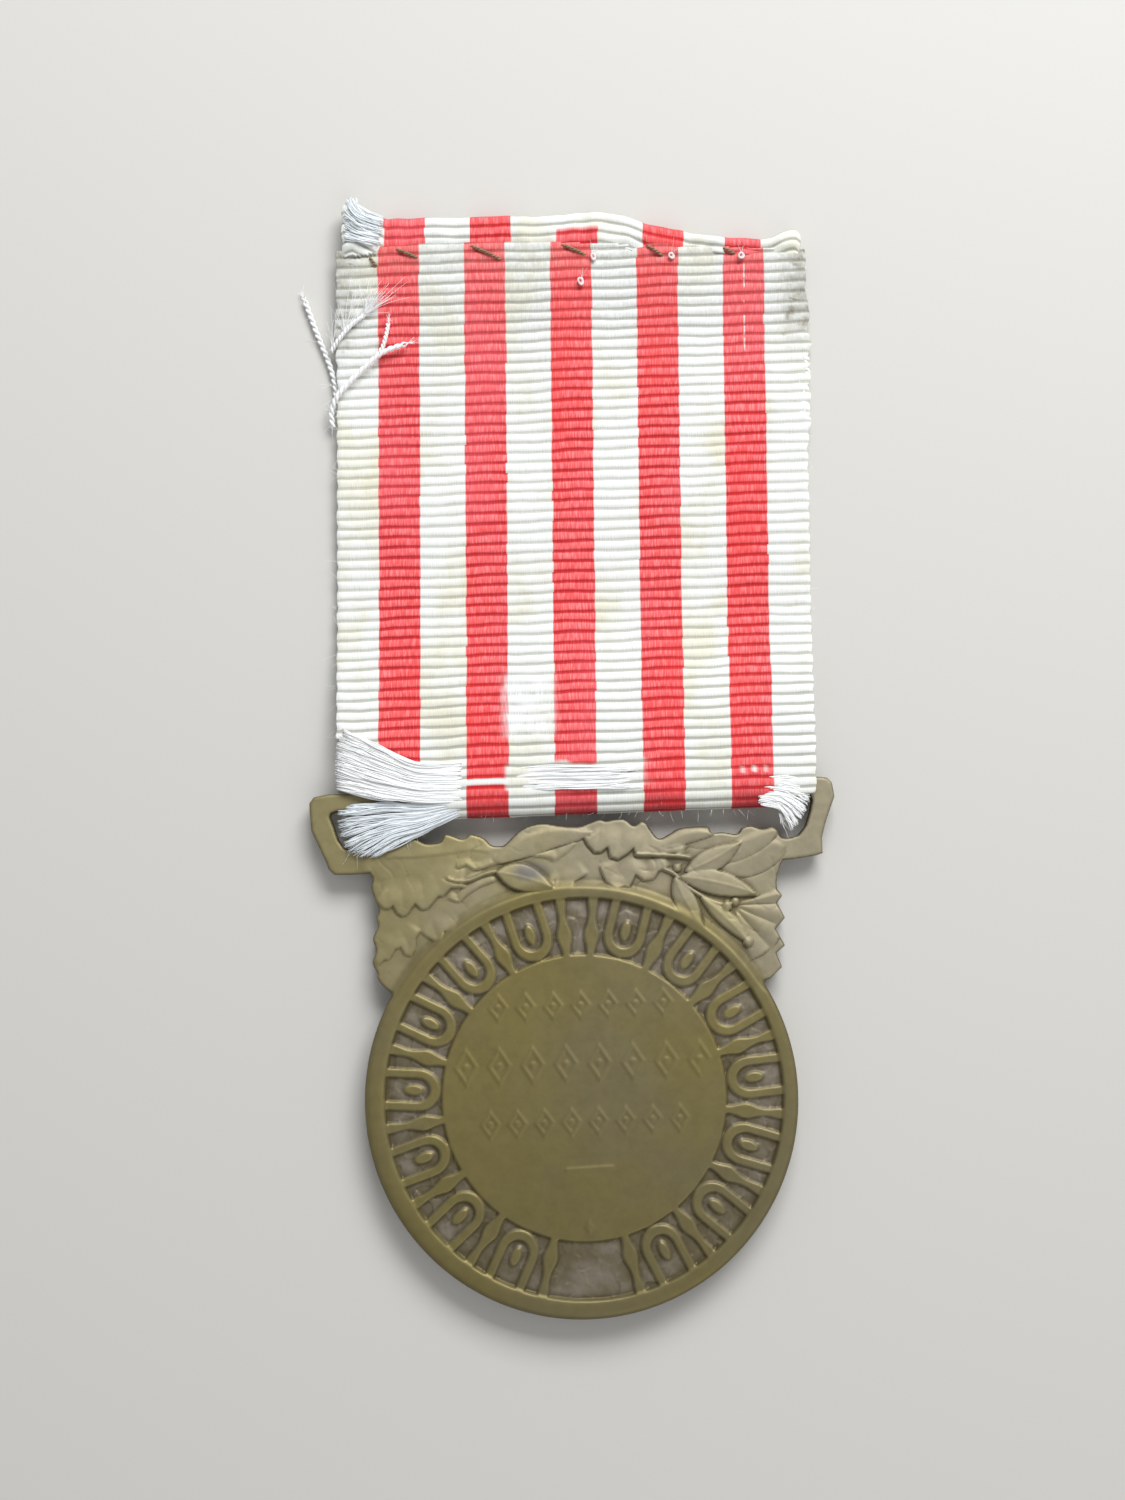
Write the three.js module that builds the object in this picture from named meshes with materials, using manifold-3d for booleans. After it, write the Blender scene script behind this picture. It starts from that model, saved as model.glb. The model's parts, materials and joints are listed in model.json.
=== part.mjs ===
// Military service medal on its ribbon, lying reverse side up.
// Units are millimetres. +X is across the ribbon, +Y runs from the disc to the hem, +Z is up.
// The model is drawn about the disc's centre and moved at the end, so that the origin is the
// middle of the underside of the whole object.

import * as THREE from 'three';
import { mergeVertices } from 'three/addons/utils/BufferGeometryUtils.js';
import Module from 'manifold-3d';

const wasm = await Module();
wasm.setup();

// ---------------------------------------------------------------- driving dimensions

const DISC_R = 16.5;            // struck disc, 33 mm module
const MEDAL_THICK = 2.5;        // across the two rims
const MID_Z = MEDAL_THICK / 2;
const EDGE_ROUND = 0.2;
const RIM_IN_R = 15.2;          // inner edge of the raised rim
const FIELD_R = 10.85;          // central field
const BAND_DEPTH = 0.4;         // recessed band below the rim, both faces
const FIELD_DEPTH = 0.2;        // field below the rim, both faces
const STEP_RUN = 0.12;          // slope of the steps between those levels
const DISC_SEGMENTS = 96;

const BAR_Y = 23.3;             // the bar that carries the ribbon
const BAR_HIGH = 1.4;
const BAR_CHAMFER = 0.35;
const LOOP_THICK = 1.3;
const WREATH_THICK = 1.6;
const LEAF_RISE = 0.35;

const RIBBON_WIDE = 36.6;
const RIBBON_THICK = 0.35;
const RIBBON_LONG = 46.1;       // from the bar to the folded top
const RIBBON_SKEW = Math.tan(THREE.MathUtils.degToRad(2.2));
const RIBBON_OFFSET = 0.1;      // middle of the ribbon from the disc's centre line, at the bar
const FOLD_INNER_R = 0.9;       // clear space round the bar, above and below it
const FOLD_NOSE = 1.25;         // the same towards the disc
const RIBBON_FLAT_HIGH = 1.05;  // height of the two layers where they lie together
const HEM_LONG = 4.2;           // top end folded over and sewn through
const HEM_LIFT = 0.45;          // the sewing thread below the hem lifts it by this
const HEM_HIGH = HEM_LIFT + 3 * RIBBON_THICK;

const SEWING_D = 0.3;           // brown thread through the hem
const TAIL_D = 0.4;             // loose white thread
const HOLE_SIDE = 0.8;          // needle hole in the hem
const CLEAR = 0.3;              // gap between pieces that touch

// ---------------------------------------------------------------- materials

const bronze = new THREE.MeshStandardMaterial({ color: 0x746c47, roughness: 0.5, metalness: 0.9 });
const grosgrain = new THREE.MeshStandardMaterial({ color: 0xe6e2d0, roughness: 0.9, metalness: 0 });
const brownThread = new THREE.MeshStandardMaterial({ color: 0x5b4a3a, roughness: 0.8, metalness: 0 });
const whiteThread = new THREE.MeshStandardMaterial({ color: 0xdedcd4, roughness: 0.9, metalness: 0 });

// ---------------------------------------------------------------- solids

// A closed geometry as a manifold solid, with only its positions kept.
function solid(geometry) {
  const bare = geometry.clone();
  bare.deleteAttribute('normal');
  bare.deleteAttribute('uv');
  const merged = mergeVertices(bare, 1e-4);
  return new wasm.Manifold(new wasm.Mesh({
    numProp: 3,
    vertProperties: new Float32Array(merged.attributes.position.array),
    triVerts: new Uint32Array(merged.index.array),
  }));
}

function joined(solids) {
  return solids.reduce((whole, next) => whole.add(next));
}

// A manifold solid, or a plain geometry, as a named mesh.
function piece(name, shape, material) {
  let geometry = shape;
  if (!shape.isBufferGeometry) {
    const { vertProperties, triVerts } = shape.getMesh();
    geometry = new THREE.BufferGeometry();
    geometry.setAttribute('position', new THREE.BufferAttribute(vertProperties, 3));
    geometry.setIndex(new THREE.BufferAttribute(triVerts, 1));
    geometry.computeVertexNormals();
  }
  const mesh = new THREE.Mesh(geometry, material);
  mesh.name = name;
  return mesh;
}

// An outline in the XY plane, standing from z = low to z = high.
function plate(shape, low, high, curveSegments = 12) {
  const geometry = new THREE.ExtrudeGeometry(shape, {
    depth: high - low, bevelEnabled: false, curveSegments,
  });
  return solid(geometry.translate(0, 0, low));
}

// Turns a profile drawn in (y, z) and extruded along its normal to run along +X.
const ALONG_X = new THREE.Matrix4().set(
  0, 0, 1, 0,
  1, 0, 0, 0,
  0, 1, 0, 0,
  0, 0, 0, 1,
);

function shapeFrom(points) {
  return new THREE.Shape(points.map(([x, y]) => new THREE.Vector2(x, y)));
}

// A round tube along a smooth curve through the points.
function tube(points, diameter, steps, sides = 8) {
  const path = new THREE.CatmullRomCurve3(points.map((p) => new THREE.Vector3(...p)), false, 'centripetal');
  const section = new THREE.Shape();
  for (let i = 0; i < sides; i += 1) {
    const turn = (i / sides) * 2 * Math.PI;
    const x = (diameter / 2) * Math.cos(turn);
    const y = (diameter / 2) * Math.sin(turn);
    if (i === 0) section.moveTo(x, y);
    else section.lineTo(x, y);
  }
  section.closePath();
  return new THREE.ExtrudeGeometry(section, { steps, extrudePath: path, bevelEnabled: false });
}

// ---------------------------------------------------------------- medal: outline

// Points between two ends of a wavy edge, along a smooth curve.
function wavy(points, perSpan = 2) {
  const curve = new THREE.SplineCurve(points.map(([x, y]) => new THREE.Vector2(x, y)));
  return curve.getPoints((points.length - 1) * perSpan).map((p) => [p.x, p.y]);
}

const WREATH_LEFT_EDGE = [
  [-14.27, 8.62], [-15.25, 9.63], [-15.6, 10.9], [-15.34, 11.6], [-15.5, 12.8],
  [-15.1, 13.7], [-15.2, 14.3], [-15.0, 15.0], [-15.5, 16.5], [-15.35, 17.5],
];
const EAR_LEFT = [
  [-15.6, 17.78], [-18.3, 17.74], [-18.75, 18.16], [-18.97, 18.8], [-19.48, 20.0],
  [-20.0, 21.2], [-20.1, 22.8], [-20.1, 23.35], [-19.7, 23.85], [-18.0, 24.0],
];
const EAR_RIGHT = [
  [18.8, 24.0], [19.9, 23.8], [20.25, 23.4], [20.4, 22.3], [20.0, 21.35],
  [19.6, 20.3], [19.28, 19.2], [19.28, 18.0], [18.9, 17.7], [16.2, 17.6],
];
const WREATH_RIGHT_EDGE = [
  [15.6, 16.0], [15.6, 15.4], [16.0, 14.85], [15.55, 14.3], [16.1, 13.15], [15.4, 12.3],
  [16.05, 11.05], [15.35, 10.45], [15.75, 9.4], [14.44, 8.45],
];
// The opening between the arms, from the wreath up past the bar, which is added afterwards.
const SLOT_TOP = 25;
const SLOT_RIGHT = [[17.5, 19.45], [18.07, 20.15], [18.45, 21.2], [18.65, 22.2], [18.65, SLOT_TOP]];
const SLOT_LEFT = [[-18.55, SLOT_TOP], [-18.55, 22.2], [-18.26, 21.4], [-17.95, 20.4], [-17.4, 19.7]];
const BAR_ENDS = [-18.9, 19.0];
const WREATH_TOP_EDGE = [
  [-17.4, 19.7], [-15.5, 19.9], [-13.1, 20.05], [-12.2, 20.35], [-11.2, 19.85], [-10.1, 19.95],
  [-9.6, 20.5], [-8.4, 20.15], [-7.7, 20.45], [-6.2, 19.6], [-5.3, 19.5], [-4.1, 20.45],
  [-2.1, 21.05], [0.5, 20.75], [2.2, 21.15], [4.1, 21.1], [4.8, 20.65], [5.4, 20.9],
  [6.1, 20.3], [6.9, 19.6], [8.45, 20.3], [10.5, 20.35], [10.85, 19.8], [12.7, 19.7],
  [13.85, 20.3], [14.7, 20.05], [15.5, 20.2], [16.6, 19.3], [17.5, 19.45],
];

function outerOutline() {
  return shapeFrom([
    ...wavy(WREATH_LEFT_EDGE), ...EAR_LEFT, ...EAR_RIGHT, ...wavy(WREATH_RIGHT_EDGE, 1),
    [10, 2], [-10, 2],
  ]);
}

function slotOutline() {
  return shapeFrom([...SLOT_LEFT, ...wavy(WREATH_TOP_EDGE).slice(1, -1), ...SLOT_RIGHT]);
}

// The bar, eight-sided so that the ribbon's fold turns freely round it.
function bar() {
  const y = BAR_HIGH / 2;
  const z = LOOP_THICK / 2;
  const section = shapeFrom([
    [y, z - BAR_CHAMFER], [y - BAR_CHAMFER, z], [BAR_CHAMFER - y, z], [-y, z - BAR_CHAMFER],
    [-y, BAR_CHAMFER - z], [BAR_CHAMFER - y, -z], [y - BAR_CHAMFER, -z], [y, BAR_CHAMFER - z],
  ]);
  const [left, right] = BAR_ENDS;
  const geometry = new THREE.ExtrudeGeometry(section, { depth: right - left, bevelEnabled: false });
  return solid(geometry.applyMatrix4(ALONG_X).translate(left, BAR_Y, MID_Z));
}

// ---------------------------------------------------------------- medal: relief

// The disc's half section, from the axis round the rim and back: the same steps on both faces.
function discBlank() {
  const face = [
    [0, FIELD_DEPTH], [FIELD_R - STEP_RUN, FIELD_DEPTH], [FIELD_R, BAND_DEPTH],
    [RIM_IN_R - STEP_RUN, BAND_DEPTH], [RIM_IN_R, 0], [DISC_R - EDGE_ROUND, 0], [DISC_R, EDGE_ROUND],
  ];
  const profile = [
    ...face,
    ...face.map(([r, depth]) => [r, MEDAL_THICK - depth]).reverse(),
  ].map(([r, z]) => new THREE.Vector2(r, z));
  const lathe = new THREE.LatheGeometry(profile, DISC_SEGMENTS).rotateX(Math.PI / 2);
  return solid(lathe);
}

// A pointed leaf with a ridge along its middle, lying on the XY plane along +X.
function leafGeometry(long, wide, rise) {
  const half = long / 2;
  const outline = [
    [-half, 0], [-half * 0.55, -wide * 0.38], [0, -wide / 2], [half * 0.6, -wide * 0.33],
    [half, 0], [half * 0.6, wide * 0.33], [0, wide / 2], [-half * 0.55, wide * 0.38],
  ];
  const count = outline.length;
  const ridge = [[-half * 0.6, 0, rise], [0, 0, rise * 1.2], [half * 0.65, 0, rise]];
  const vertices = [
    ...outline.map(([x, y]) => [x, y, -rise]),
    ...outline.map(([x, y]) => [x, y, rise * 0.35]),
    ...ridge,
    [0, 0, -rise],
  ];
  const faces = [];
  const [west, middle, east, under] = [0, 1, 2, 3].map((i) => 2 * count + i);
  const nearest = [west, west, middle, east, east, east, middle, west];
  for (let i = 0; i < count; i += 1) {
    const next = (i + 1) % count;
    faces.push([i, next, count + next], [i, count + next, count + i]);
    faces.push([i, under, next]);
    faces.push([count + i, count + next, nearest[i]]);
    if (nearest[next] !== nearest[i]) faces.push([count + next, nearest[next], nearest[i]]);
  }
  const geometry = new THREE.BufferGeometry();
  geometry.setAttribute('position', new THREE.Float32BufferAttribute(vertices.flat(), 3));
  geometry.setIndex(faces.flat());
  return geometry;
}

// Leaves of the wreath: middle, direction in degrees, length, width.
const LEAVES = [
  [-13.3, 17.2, 150, 5.4, 2.6], [-13.2, 13.4, 110, 5.0, 2.4], [-10.2, 17.9, 115, 5.4, 2.6],
  [-10.1, 15.2, 140, 5.2, 2.4], [-7.0, 17.6, 70, 5.2, 2.6], [-4.2, 18.5, 60, 4.8, 2.6],
  [-1.2, 18.9, 85, 4.6, 2.8], [2.0, 18.9, 95, 4.6, 2.8], [5.0, 18.4, 70, 5.0, 2.2],
  [8.6, 18.2, 40, 6.0, 2.2], [9.6, 16.2, 15, 8.0, 2.0], [12.6, 18.4, 60, 5.0, 2.2],
  [13.2, 14.0, -60, 5.0, 2.2], [14.2, 11.4, -80, 4.4, 2.0],
];

function wreathLeaves(top) {
  return LEAVES.map(([x, y, degrees, long, wide]) => {
    const geometry = leafGeometry(long, wide, LEAF_RISE);
    if (!top) geometry.rotateX(Math.PI);
    geometry.rotateZ(THREE.MathUtils.degToRad(degrees));
    const surface = top ? MID_Z + WREATH_THICK / 2 : MID_Z - WREATH_THICK / 2;
    return solid(geometry.translate(x, y, surface));
  });
}

// Egg-and-tongue border in the reverse's band, with plain gaps at the top and the bottom.
const BAND_STEP = 15;           // degrees between tongues
const BAND_GAP = 12;            // half width of each plain gap, in degrees
const TONGUE_WIDE = 0.9;

function bandOrnament() {
  const solids = [];
  const middle = (FIELD_R + RIM_IN_R) / 2;
  const long = RIM_IN_R - FIELD_R + 2 * CLEAR;
  for (let degrees = BAND_STEP / 2; degrees < 360; degrees += BAND_STEP) {
    const fromVertical = Math.min(Math.abs(degrees - 90), Math.abs(degrees - 270));
    if (fromVertical > BAND_GAP) {
      const tongue = new THREE.BoxGeometry(long, TONGUE_WIDE, BAND_DEPTH);
      tongue.translate(middle, 0, MEDAL_THICK - 0.1 - BAND_DEPTH / 2);
      tongue.rotateZ(THREE.MathUtils.degToRad(degrees));
      solids.push(solid(tongue));
    }
  }
  return solids;
}

// Three faint rows of lozenges on the reverse's field, and one short dash.
const FIELD_ROWS = [
  { y: 7.0, from: -6.2, to: 6.2, count: 7, size: 1.6 },
  { y: 2.6, from: -8.2, to: 8.2, count: 8, size: 1.9 },
  { y: -1.8, from: -6.6, to: 6.6, count: 8, size: 1.6 },
];
const FIELD_RISE = 0.08;

function fieldOrnament() {
  const surface = MEDAL_THICK - FIELD_DEPTH;
  const solids = [];
  for (const { y, from, to, count, size } of FIELD_ROWS) {
    for (let i = 0; i < count; i += 1) {
      const x = THREE.MathUtils.lerp(from, to, i / (count - 1));
      const lozenge = shapeFrom([[x - size / 3, y], [x, y - size / 2], [x + size / 3, y], [x, y + size / 2]]);
      solids.push(plate(lozenge, surface - CLEAR, surface + FIELD_RISE));
    }
  }
  const dash = new THREE.BoxGeometry(3.4, 0.5, CLEAR + FIELD_RISE);
  solids.push(solid(dash.translate(0, -5.4, surface + (FIELD_RISE - CLEAR) / 2)));
  return solids;
}

// Five-pointed star in the middle of the obverse, below its rim.
const STAR_R = 8.0;

function obverseStar() {
  const points = [];
  for (let i = 0; i < 10; i += 1) {
    const radius = i % 2 === 0 ? STAR_R : STAR_R * 0.4;
    const turn = Math.PI / 2 + (i * Math.PI) / 5;
    points.push([radius * Math.cos(turn), radius * Math.sin(turn)]);
  }
  return plate(shapeFrom(points), 0.08, FIELD_DEPTH + CLEAR);
}

// ---------------------------------------------------------------- medal

// One struck piece: disc, wreath and the loop with its bar.
function medalBody() {
  const blank = joined([
    plate(outerOutline(), MID_Z - LOOP_THICK / 2, MID_Z + LOOP_THICK / 2),
    ...wreathLeaves(true),
    ...wreathLeaves(false),
  ]);
  const disc = new THREE.CylinderGeometry(DISC_R - EDGE_ROUND, DISC_R - EDGE_ROUND, MEDAL_THICK, DISC_SEGMENTS);
  const discSpace = solid(disc.rotateX(Math.PI / 2).translate(0, 0, MID_Z));
  const slot = plate(slotOutline(), -1, MEDAL_THICK + 1);
  return joined([
    blank.subtract(slot).subtract(discSpace),
    bar(),
    discBlank(),
    ...bandOrnament(),
    ...fieldOrnament(),
    obverseStar(),
  ]);
}

// ---------------------------------------------------------------- ribbon

const FOLD_OUTER_R = FOLD_INNER_R + RIBBON_THICK;
const DROOP_END = 16;           // distance from the bar at which the layers lie together
const RISE_TO_HEM = 4;          // length over which the underside lifts to the hem

// Half turn of an ellipse round the bar, from its top to its bottom, on the disc's side.
function foldArc(nose, high, count) {
  const points = [];
  for (let i = 0; i <= count; i += 1) {
    const turn = Math.PI / 2 + (Math.PI * i) / count;
    points.push([nose * Math.cos(turn), MID_Z + high * Math.sin(turn)]);
  }
  return points;
}

// Height of the upper layer's top surface at a distance from the bar.
function upperSurface(along) {
  const t = THREE.MathUtils.smoothstep(along, 0, DROOP_END);
  return THREE.MathUtils.lerp(MID_Z + FOLD_OUTER_R, RIBBON_FLAT_HIGH, t);
}

// Side view of the ribbon: distance from the bar, height.
function ribbonOutline() {
  const hemStart = RIBBON_LONG - HEM_LONG;
  const droop = [2, 4, 6, 8, 10, 12, 14, DROOP_END];
  return shapeFrom([
    ...foldArc(FOLD_NOSE + RIBBON_THICK, FOLD_OUTER_R, 16),
    [hemStart - RISE_TO_HEM, 0],
    [hemStart, HEM_LIFT],
    [RIBBON_LONG, HEM_LIFT],
    [RIBBON_LONG, HEM_HIGH],
    [hemStart, HEM_HIGH],
    [hemStart - RISE_TO_HEM, RIBBON_FLAT_HIGH],
    ...droop.map((along) => [along, upperSurface(along)]).reverse(),
  ]);
}

// Space between the two layers, from the bar up to where they are sewn.
function ribbonHollow() {
  const droop = [2, 4, 6, 8, 10, 12, 14, DROOP_END];
  const end = RIBBON_LONG - HEM_LONG - RISE_TO_HEM;
  return new THREE.Path([
    ...foldArc(FOLD_NOSE, FOLD_INNER_R, 14),
    [end, RIBBON_THICK],
    [end, RIBBON_FLAT_HIGH - RIBBON_THICK],
    ...droop.map((along) => [along, upperSurface(along) - RIBBON_THICK]).reverse(),
  ].map(([along, z]) => new THREE.Vector2(along, z)));
}

// Moves a shape drawn straight along +Y onto the ribbon's slightly skewed line.
const skew = new THREE.Matrix4().set(
  1, RIBBON_SKEW, 0, RIBBON_OFFSET,
  0, 1, 0, BAR_Y,
  0, 0, 1, 0,
  0, 0, 0, 1,
);

// Middle of each pass of the thread through the hem: across, and distance from the bar.
const SEWING_HOLES = [
  [-15.9, 42.9], [-15.3, 42.1], [-13.9, 43.4], [-11.9, 42.2], [-8.1, 43.4], [-5.4, 41.9],
  [-0.9, 43.3], [1.3, 42.1], [5.9, 42.8], [7.3, 41.8], [12.0, 42.4], [13.0, 41.9],
];
const RIGHT_SLOPE_FROM = 4;     // the top edge slopes down to the right of here
const RIGHT_SLOPE_DROP = 2.6;

function ribbonStrip() {
  const side = ribbonOutline();
  side.holes.push(ribbonHollow());
  const strip = new THREE.ExtrudeGeometry(side, { depth: RIBBON_WIDE, bevelEnabled: false });
  const halfWide = RIBBON_WIDE / 2;
  strip.applyMatrix4(ALONG_X).translate(-halfWide, 0, 0);
  const corner = shapeFrom([
    [RIGHT_SLOPE_FROM, RIBBON_LONG + 1], [RIGHT_SLOPE_FROM, RIBBON_LONG],
    [halfWide + 1, RIBBON_LONG - RIGHT_SLOPE_DROP], [halfWide + 1, RIBBON_LONG + 1],
  ]);
  let whole = solid(strip).subtract(plate(corner, -1, HEM_HIGH + 1));
  for (const [across, along] of SEWING_HOLES) {
    const hole = new THREE.BoxGeometry(HOLE_SIDE, HOLE_SIDE, 4);
    whole = whole.subtract(solid(hole.translate(across, along, 1)));
  }
  return whole;
}

// ---------------------------------------------------------------- threads

// One thread in running stitches: over the front of the hem between each pair of holes,
// and under it to the next pair.
function hemThread() {
  const over = HEM_HIGH + SEWING_D / 2 + 0.1;
  const under = SEWING_D / 2 + 0.05;
  const bend = 0.25;
  const points = [];
  SEWING_HOLES.forEach(([across, along], i) => {
    const rising = i % 2 === 0;
    const from = rising ? under : over;
    const to = rising ? over : under;
    const step = bend * (to - from) / (over - under);
    points.push([across, along, from + step], [across, along, to - step]);
    const next = SEWING_HOLES[i + 1];
    if (next) {
      points.push([(across + next[0]) / 2, (along + next[1]) / 2, to]);
    }
  });
  return tube(points, SEWING_D, 170, 6);
}

// Loose ends of the white tacking thread: across, distance from the bar, height.
const ON_TABLE = TAIL_D / 2;
const ON_RIBBON = RIBBON_FLAT_HIGH + TAIL_D / 2 + 0.1;
const TAIL_OUTER = [
  [-18.9, 31.8, ON_TABLE], [-19.3, 33.2, ON_TABLE], [-20.2, 35.8, ON_TABLE],
  [-20.9, 38.2, ON_TABLE], [-21.2, 40.3, ON_TABLE],
];
const TAIL_LONG = [
  [-18.75, 30.6, ON_TABLE], [-18.8, 31.4, 0.7], [-18.1, 32.2, ON_RIBBON], [-16.5, 33.8, ON_RIBBON],
  [-14.8, 35.2, ON_RIBBON], [-12.8, 35.9, ON_RIBBON],
];
const TAIL_SHORT = [
  [-18.9, 36.6, 0.9], [-18.2, 36.9, ON_RIBBON], [-17.2, 38.0, 1.6], [-16.0, 38.9, 1.75],
];
// Small loops of the same thread left in the ribbon: across, distance from the bar, turn.
const LOOPS = [[0.5, 40.1, 60], [8.5, 41.4, 20], [14.6, 41.6, 35], [7.3, 36.7, 90]];
const LOOP_LONG = 1.2;

function looseLoop([across, along, degrees]) {
  const turn = THREE.MathUtils.degToRad(degrees);
  const half = LOOP_LONG / 2;
  const foot = (along > RIBBON_LONG - HEM_LONG - RISE_TO_HEM ? HEM_HIGH : RIBBON_FLAT_HIGH) + CLEAR;
  return tube([
    [across - half * Math.cos(turn), along - half * Math.sin(turn), foot],
    [across, along, foot + 0.4],
    [across + half * Math.cos(turn), along + half * Math.sin(turn), foot],
  ], SEWING_D, 8, 6);
}

// ---------------------------------------------------------------- assembly

const medal = new THREE.Group();
medal.add(piece('medal_body', medalBody(), bronze));

const onRibbon = new THREE.Group();
onRibbon.add(piece('ribbon_strip', ribbonStrip(), grosgrain));
onRibbon.add(piece('hem_thread', hemThread(), brownThread));
onRibbon.add(piece('thread_tail_outer', tube(TAIL_OUTER, TAIL_D, 12), whiteThread));
onRibbon.add(piece('thread_tail_long', tube(TAIL_LONG, TAIL_D, 14), whiteThread));
onRibbon.add(piece('thread_tail_short', tube(TAIL_SHORT, TAIL_D, 8), whiteThread));
LOOPS.forEach((place, i) => {
  onRibbon.add(piece(`thread_loop_${i + 1}`, looseLoop(place), whiteThread));
});
for (const mesh of onRibbon.children) {
  mesh.geometry.applyMatrix4(skew);
}

const assembly = new THREE.Group();
assembly.add(medal, onRibbon);
const extent = new THREE.Box3().setFromObject(assembly);
const middle = extent.getCenter(new THREE.Vector3());
assembly.position.set(-middle.x, -middle.y, -extent.min.z);

export default assembly;
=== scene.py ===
import json
import math

import bpy
import numpy as np
from mathutils import Matrix, Vector


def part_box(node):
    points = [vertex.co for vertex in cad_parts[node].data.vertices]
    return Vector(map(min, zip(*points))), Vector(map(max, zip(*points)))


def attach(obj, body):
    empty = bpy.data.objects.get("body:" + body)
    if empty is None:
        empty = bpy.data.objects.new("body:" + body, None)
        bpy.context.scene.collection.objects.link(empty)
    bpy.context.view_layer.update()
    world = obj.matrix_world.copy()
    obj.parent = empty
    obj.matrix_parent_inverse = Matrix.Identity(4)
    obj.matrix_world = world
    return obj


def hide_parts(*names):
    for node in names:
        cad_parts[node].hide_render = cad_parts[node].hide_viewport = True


# A struck bronze service medal on a grosgrain ribbon, lying reverse side up on a pale floor.
# Shapes are worked out in millimetres about the disc's centre (x right, y towards the hem, z up)
# and put into the frame, in metres, by to_frame().

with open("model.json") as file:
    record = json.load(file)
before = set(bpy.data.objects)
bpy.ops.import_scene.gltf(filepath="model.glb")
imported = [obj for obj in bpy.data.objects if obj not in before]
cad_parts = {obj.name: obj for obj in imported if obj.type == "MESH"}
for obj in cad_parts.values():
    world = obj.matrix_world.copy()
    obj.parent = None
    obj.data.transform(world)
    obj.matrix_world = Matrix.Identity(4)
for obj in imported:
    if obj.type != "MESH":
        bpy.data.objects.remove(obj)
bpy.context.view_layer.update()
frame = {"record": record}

MM = 0.001

# ------------------------------------------------------------------ places taken from the frame

medal_low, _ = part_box("medal_body")
LEFT_EAR = 20.1                 # from the disc's centre to the tip of the left ear
DISC_R = 16.5
ORIGIN = (medal_low[0] / MM + LEFT_EAR, medal_low[1] / MM + DISC_R, 0.0)
swing = frame["record"]["behaviour"]["joints"][0]
BAR_Y = swing["pos_m"][1] / MM - ORIGIN[1]
MID_Z = swing["pos_m"][2] / MM


def to_frame(points):
    """Millimetres about the disc's centre to metres in the frame."""
    return (np.asarray(points, float) + np.array(ORIGIN)) * MM


def new_object(name, points, faces, rounded=True):
    mesh = bpy.data.meshes.new(name)
    mesh.from_pydata(to_frame(points).tolist(), [], faces)
    mesh.validate()
    mesh.polygons.foreach_set("use_smooth", [rounded] * len(mesh.polygons))
    mesh.update()
    obj = bpy.data.objects.new(name, mesh)
    bpy.context.scene.collection.objects.link(obj)
    return obj


def add_attribute(obj, name, values):
    """One number for each vertex, which a material reads by name."""
    layer = obj.data.attributes.new(name, "FLOAT", "POINT")
    layer.data.foreach_set("value", np.asarray(values, np.float32))


# ------------------------------------------------------------------ small maths

def smooth(low, high, value):
    """0 up to low, 1 from high on, and an even S between. With low above high it falls."""
    t = np.clip((value - low) / (high - low), 0.0, 1.0)
    return t * t * (3.0 - 2.0 * t)


def mix(a, b, t):
    return a + (b - a) * t


def unit(vectors):
    """Each vector at length 1."""
    return vectors / np.linalg.norm(vectors, axis=-1, keepdims=True)


def run_along(points):
    """Distance from the first point to each point, along the line through them."""
    return np.concatenate([[0.0], np.cumsum(np.linalg.norm(np.diff(points, axis=0), axis=1))])


def at_distances(points, run, wanted):
    """Points at the wanted distances along a line, whose own points lie at the distances run."""
    return np.column_stack([np.interp(wanted, run, column) for column in points.T])


def waves(x, y, seed, octaves=4, size=1.0):
    """Smooth irregular bumps between about -1 and 1, from sums of turned sine waves."""
    rng = np.random.default_rng(seed)
    total = np.zeros_like(np.asarray(x, float))
    reach = 0.0
    for octave in range(octaves):
        strength = 0.62 ** octave
        for _ in range(3):
            angle = rng.uniform(0.0, math.tau)
            phase = rng.uniform(0.0, math.tau)
            rate = math.tau / size * 1.75 ** octave * rng.uniform(0.75, 1.25)
            along = x * math.cos(angle) + y * math.sin(angle)
            total = total + strength * np.sin(rate * along + phase)
        reach += strength * 1.8
    return total / reach


CURVE_STEPS = 16                # between two given points, before the even spacing


def curve_through(points, count):
    """A Catmull-Rom curve through the points, at even steps along it."""
    points = np.asarray(points, float)
    ends = np.vstack([2 * points[0] - points[1], points, 2 * points[-1] - points[-2]])
    fine = []
    for p0, p1, p2, p3 in zip(ends, ends[1:], ends[2:], ends[3:]):
        for t in np.linspace(0.0, 1.0, CURVE_STEPS, endpoint=False):
            fine.append(0.5 * (2 * p1 + (p2 - p0) * t + (2 * p0 - 5 * p1 + 4 * p2 - p3) * t * t
                               + (3 * p1 - p0 - 3 * p2 + p3) * t ** 3))
    fine = np.array(fine + [points[-1]])
    run = run_along(fine)
    return at_distances(fine, run, np.linspace(0.0, run[-1], count))


def sweep(path, radii, sides):
    """Points and faces of a round tube along a path, closed at both ends."""
    count = len(path)
    radii = np.broadcast_to(radii, count)
    tangent = unit(np.gradient(path, axis=0))
    side = np.cross(tangent[0], [0.0, 0.0, 1.0])
    points = []
    turns = np.arange(sides)[:, None] * math.tau / sides
    for centre, ahead, radius in zip(path, tangent, radii):
        side = unit(side - ahead * side.dot(ahead))
        ring = np.cos(turns) * side + np.sin(turns) * np.cross(ahead, side)
        points.append(centre + radius * ring)
    faces = []
    for start in range(0, (count - 1) * sides, sides):
        for j in range(sides):
            k = (j + 1) % sides
            faces.append((start + j, start + k, start + sides + k, start + sides + j))
    faces.append(tuple(range(sides))[::-1])
    faces.append(tuple(range((count - 1) * sides, count * sides)))
    return np.vstack(points), faces


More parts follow.
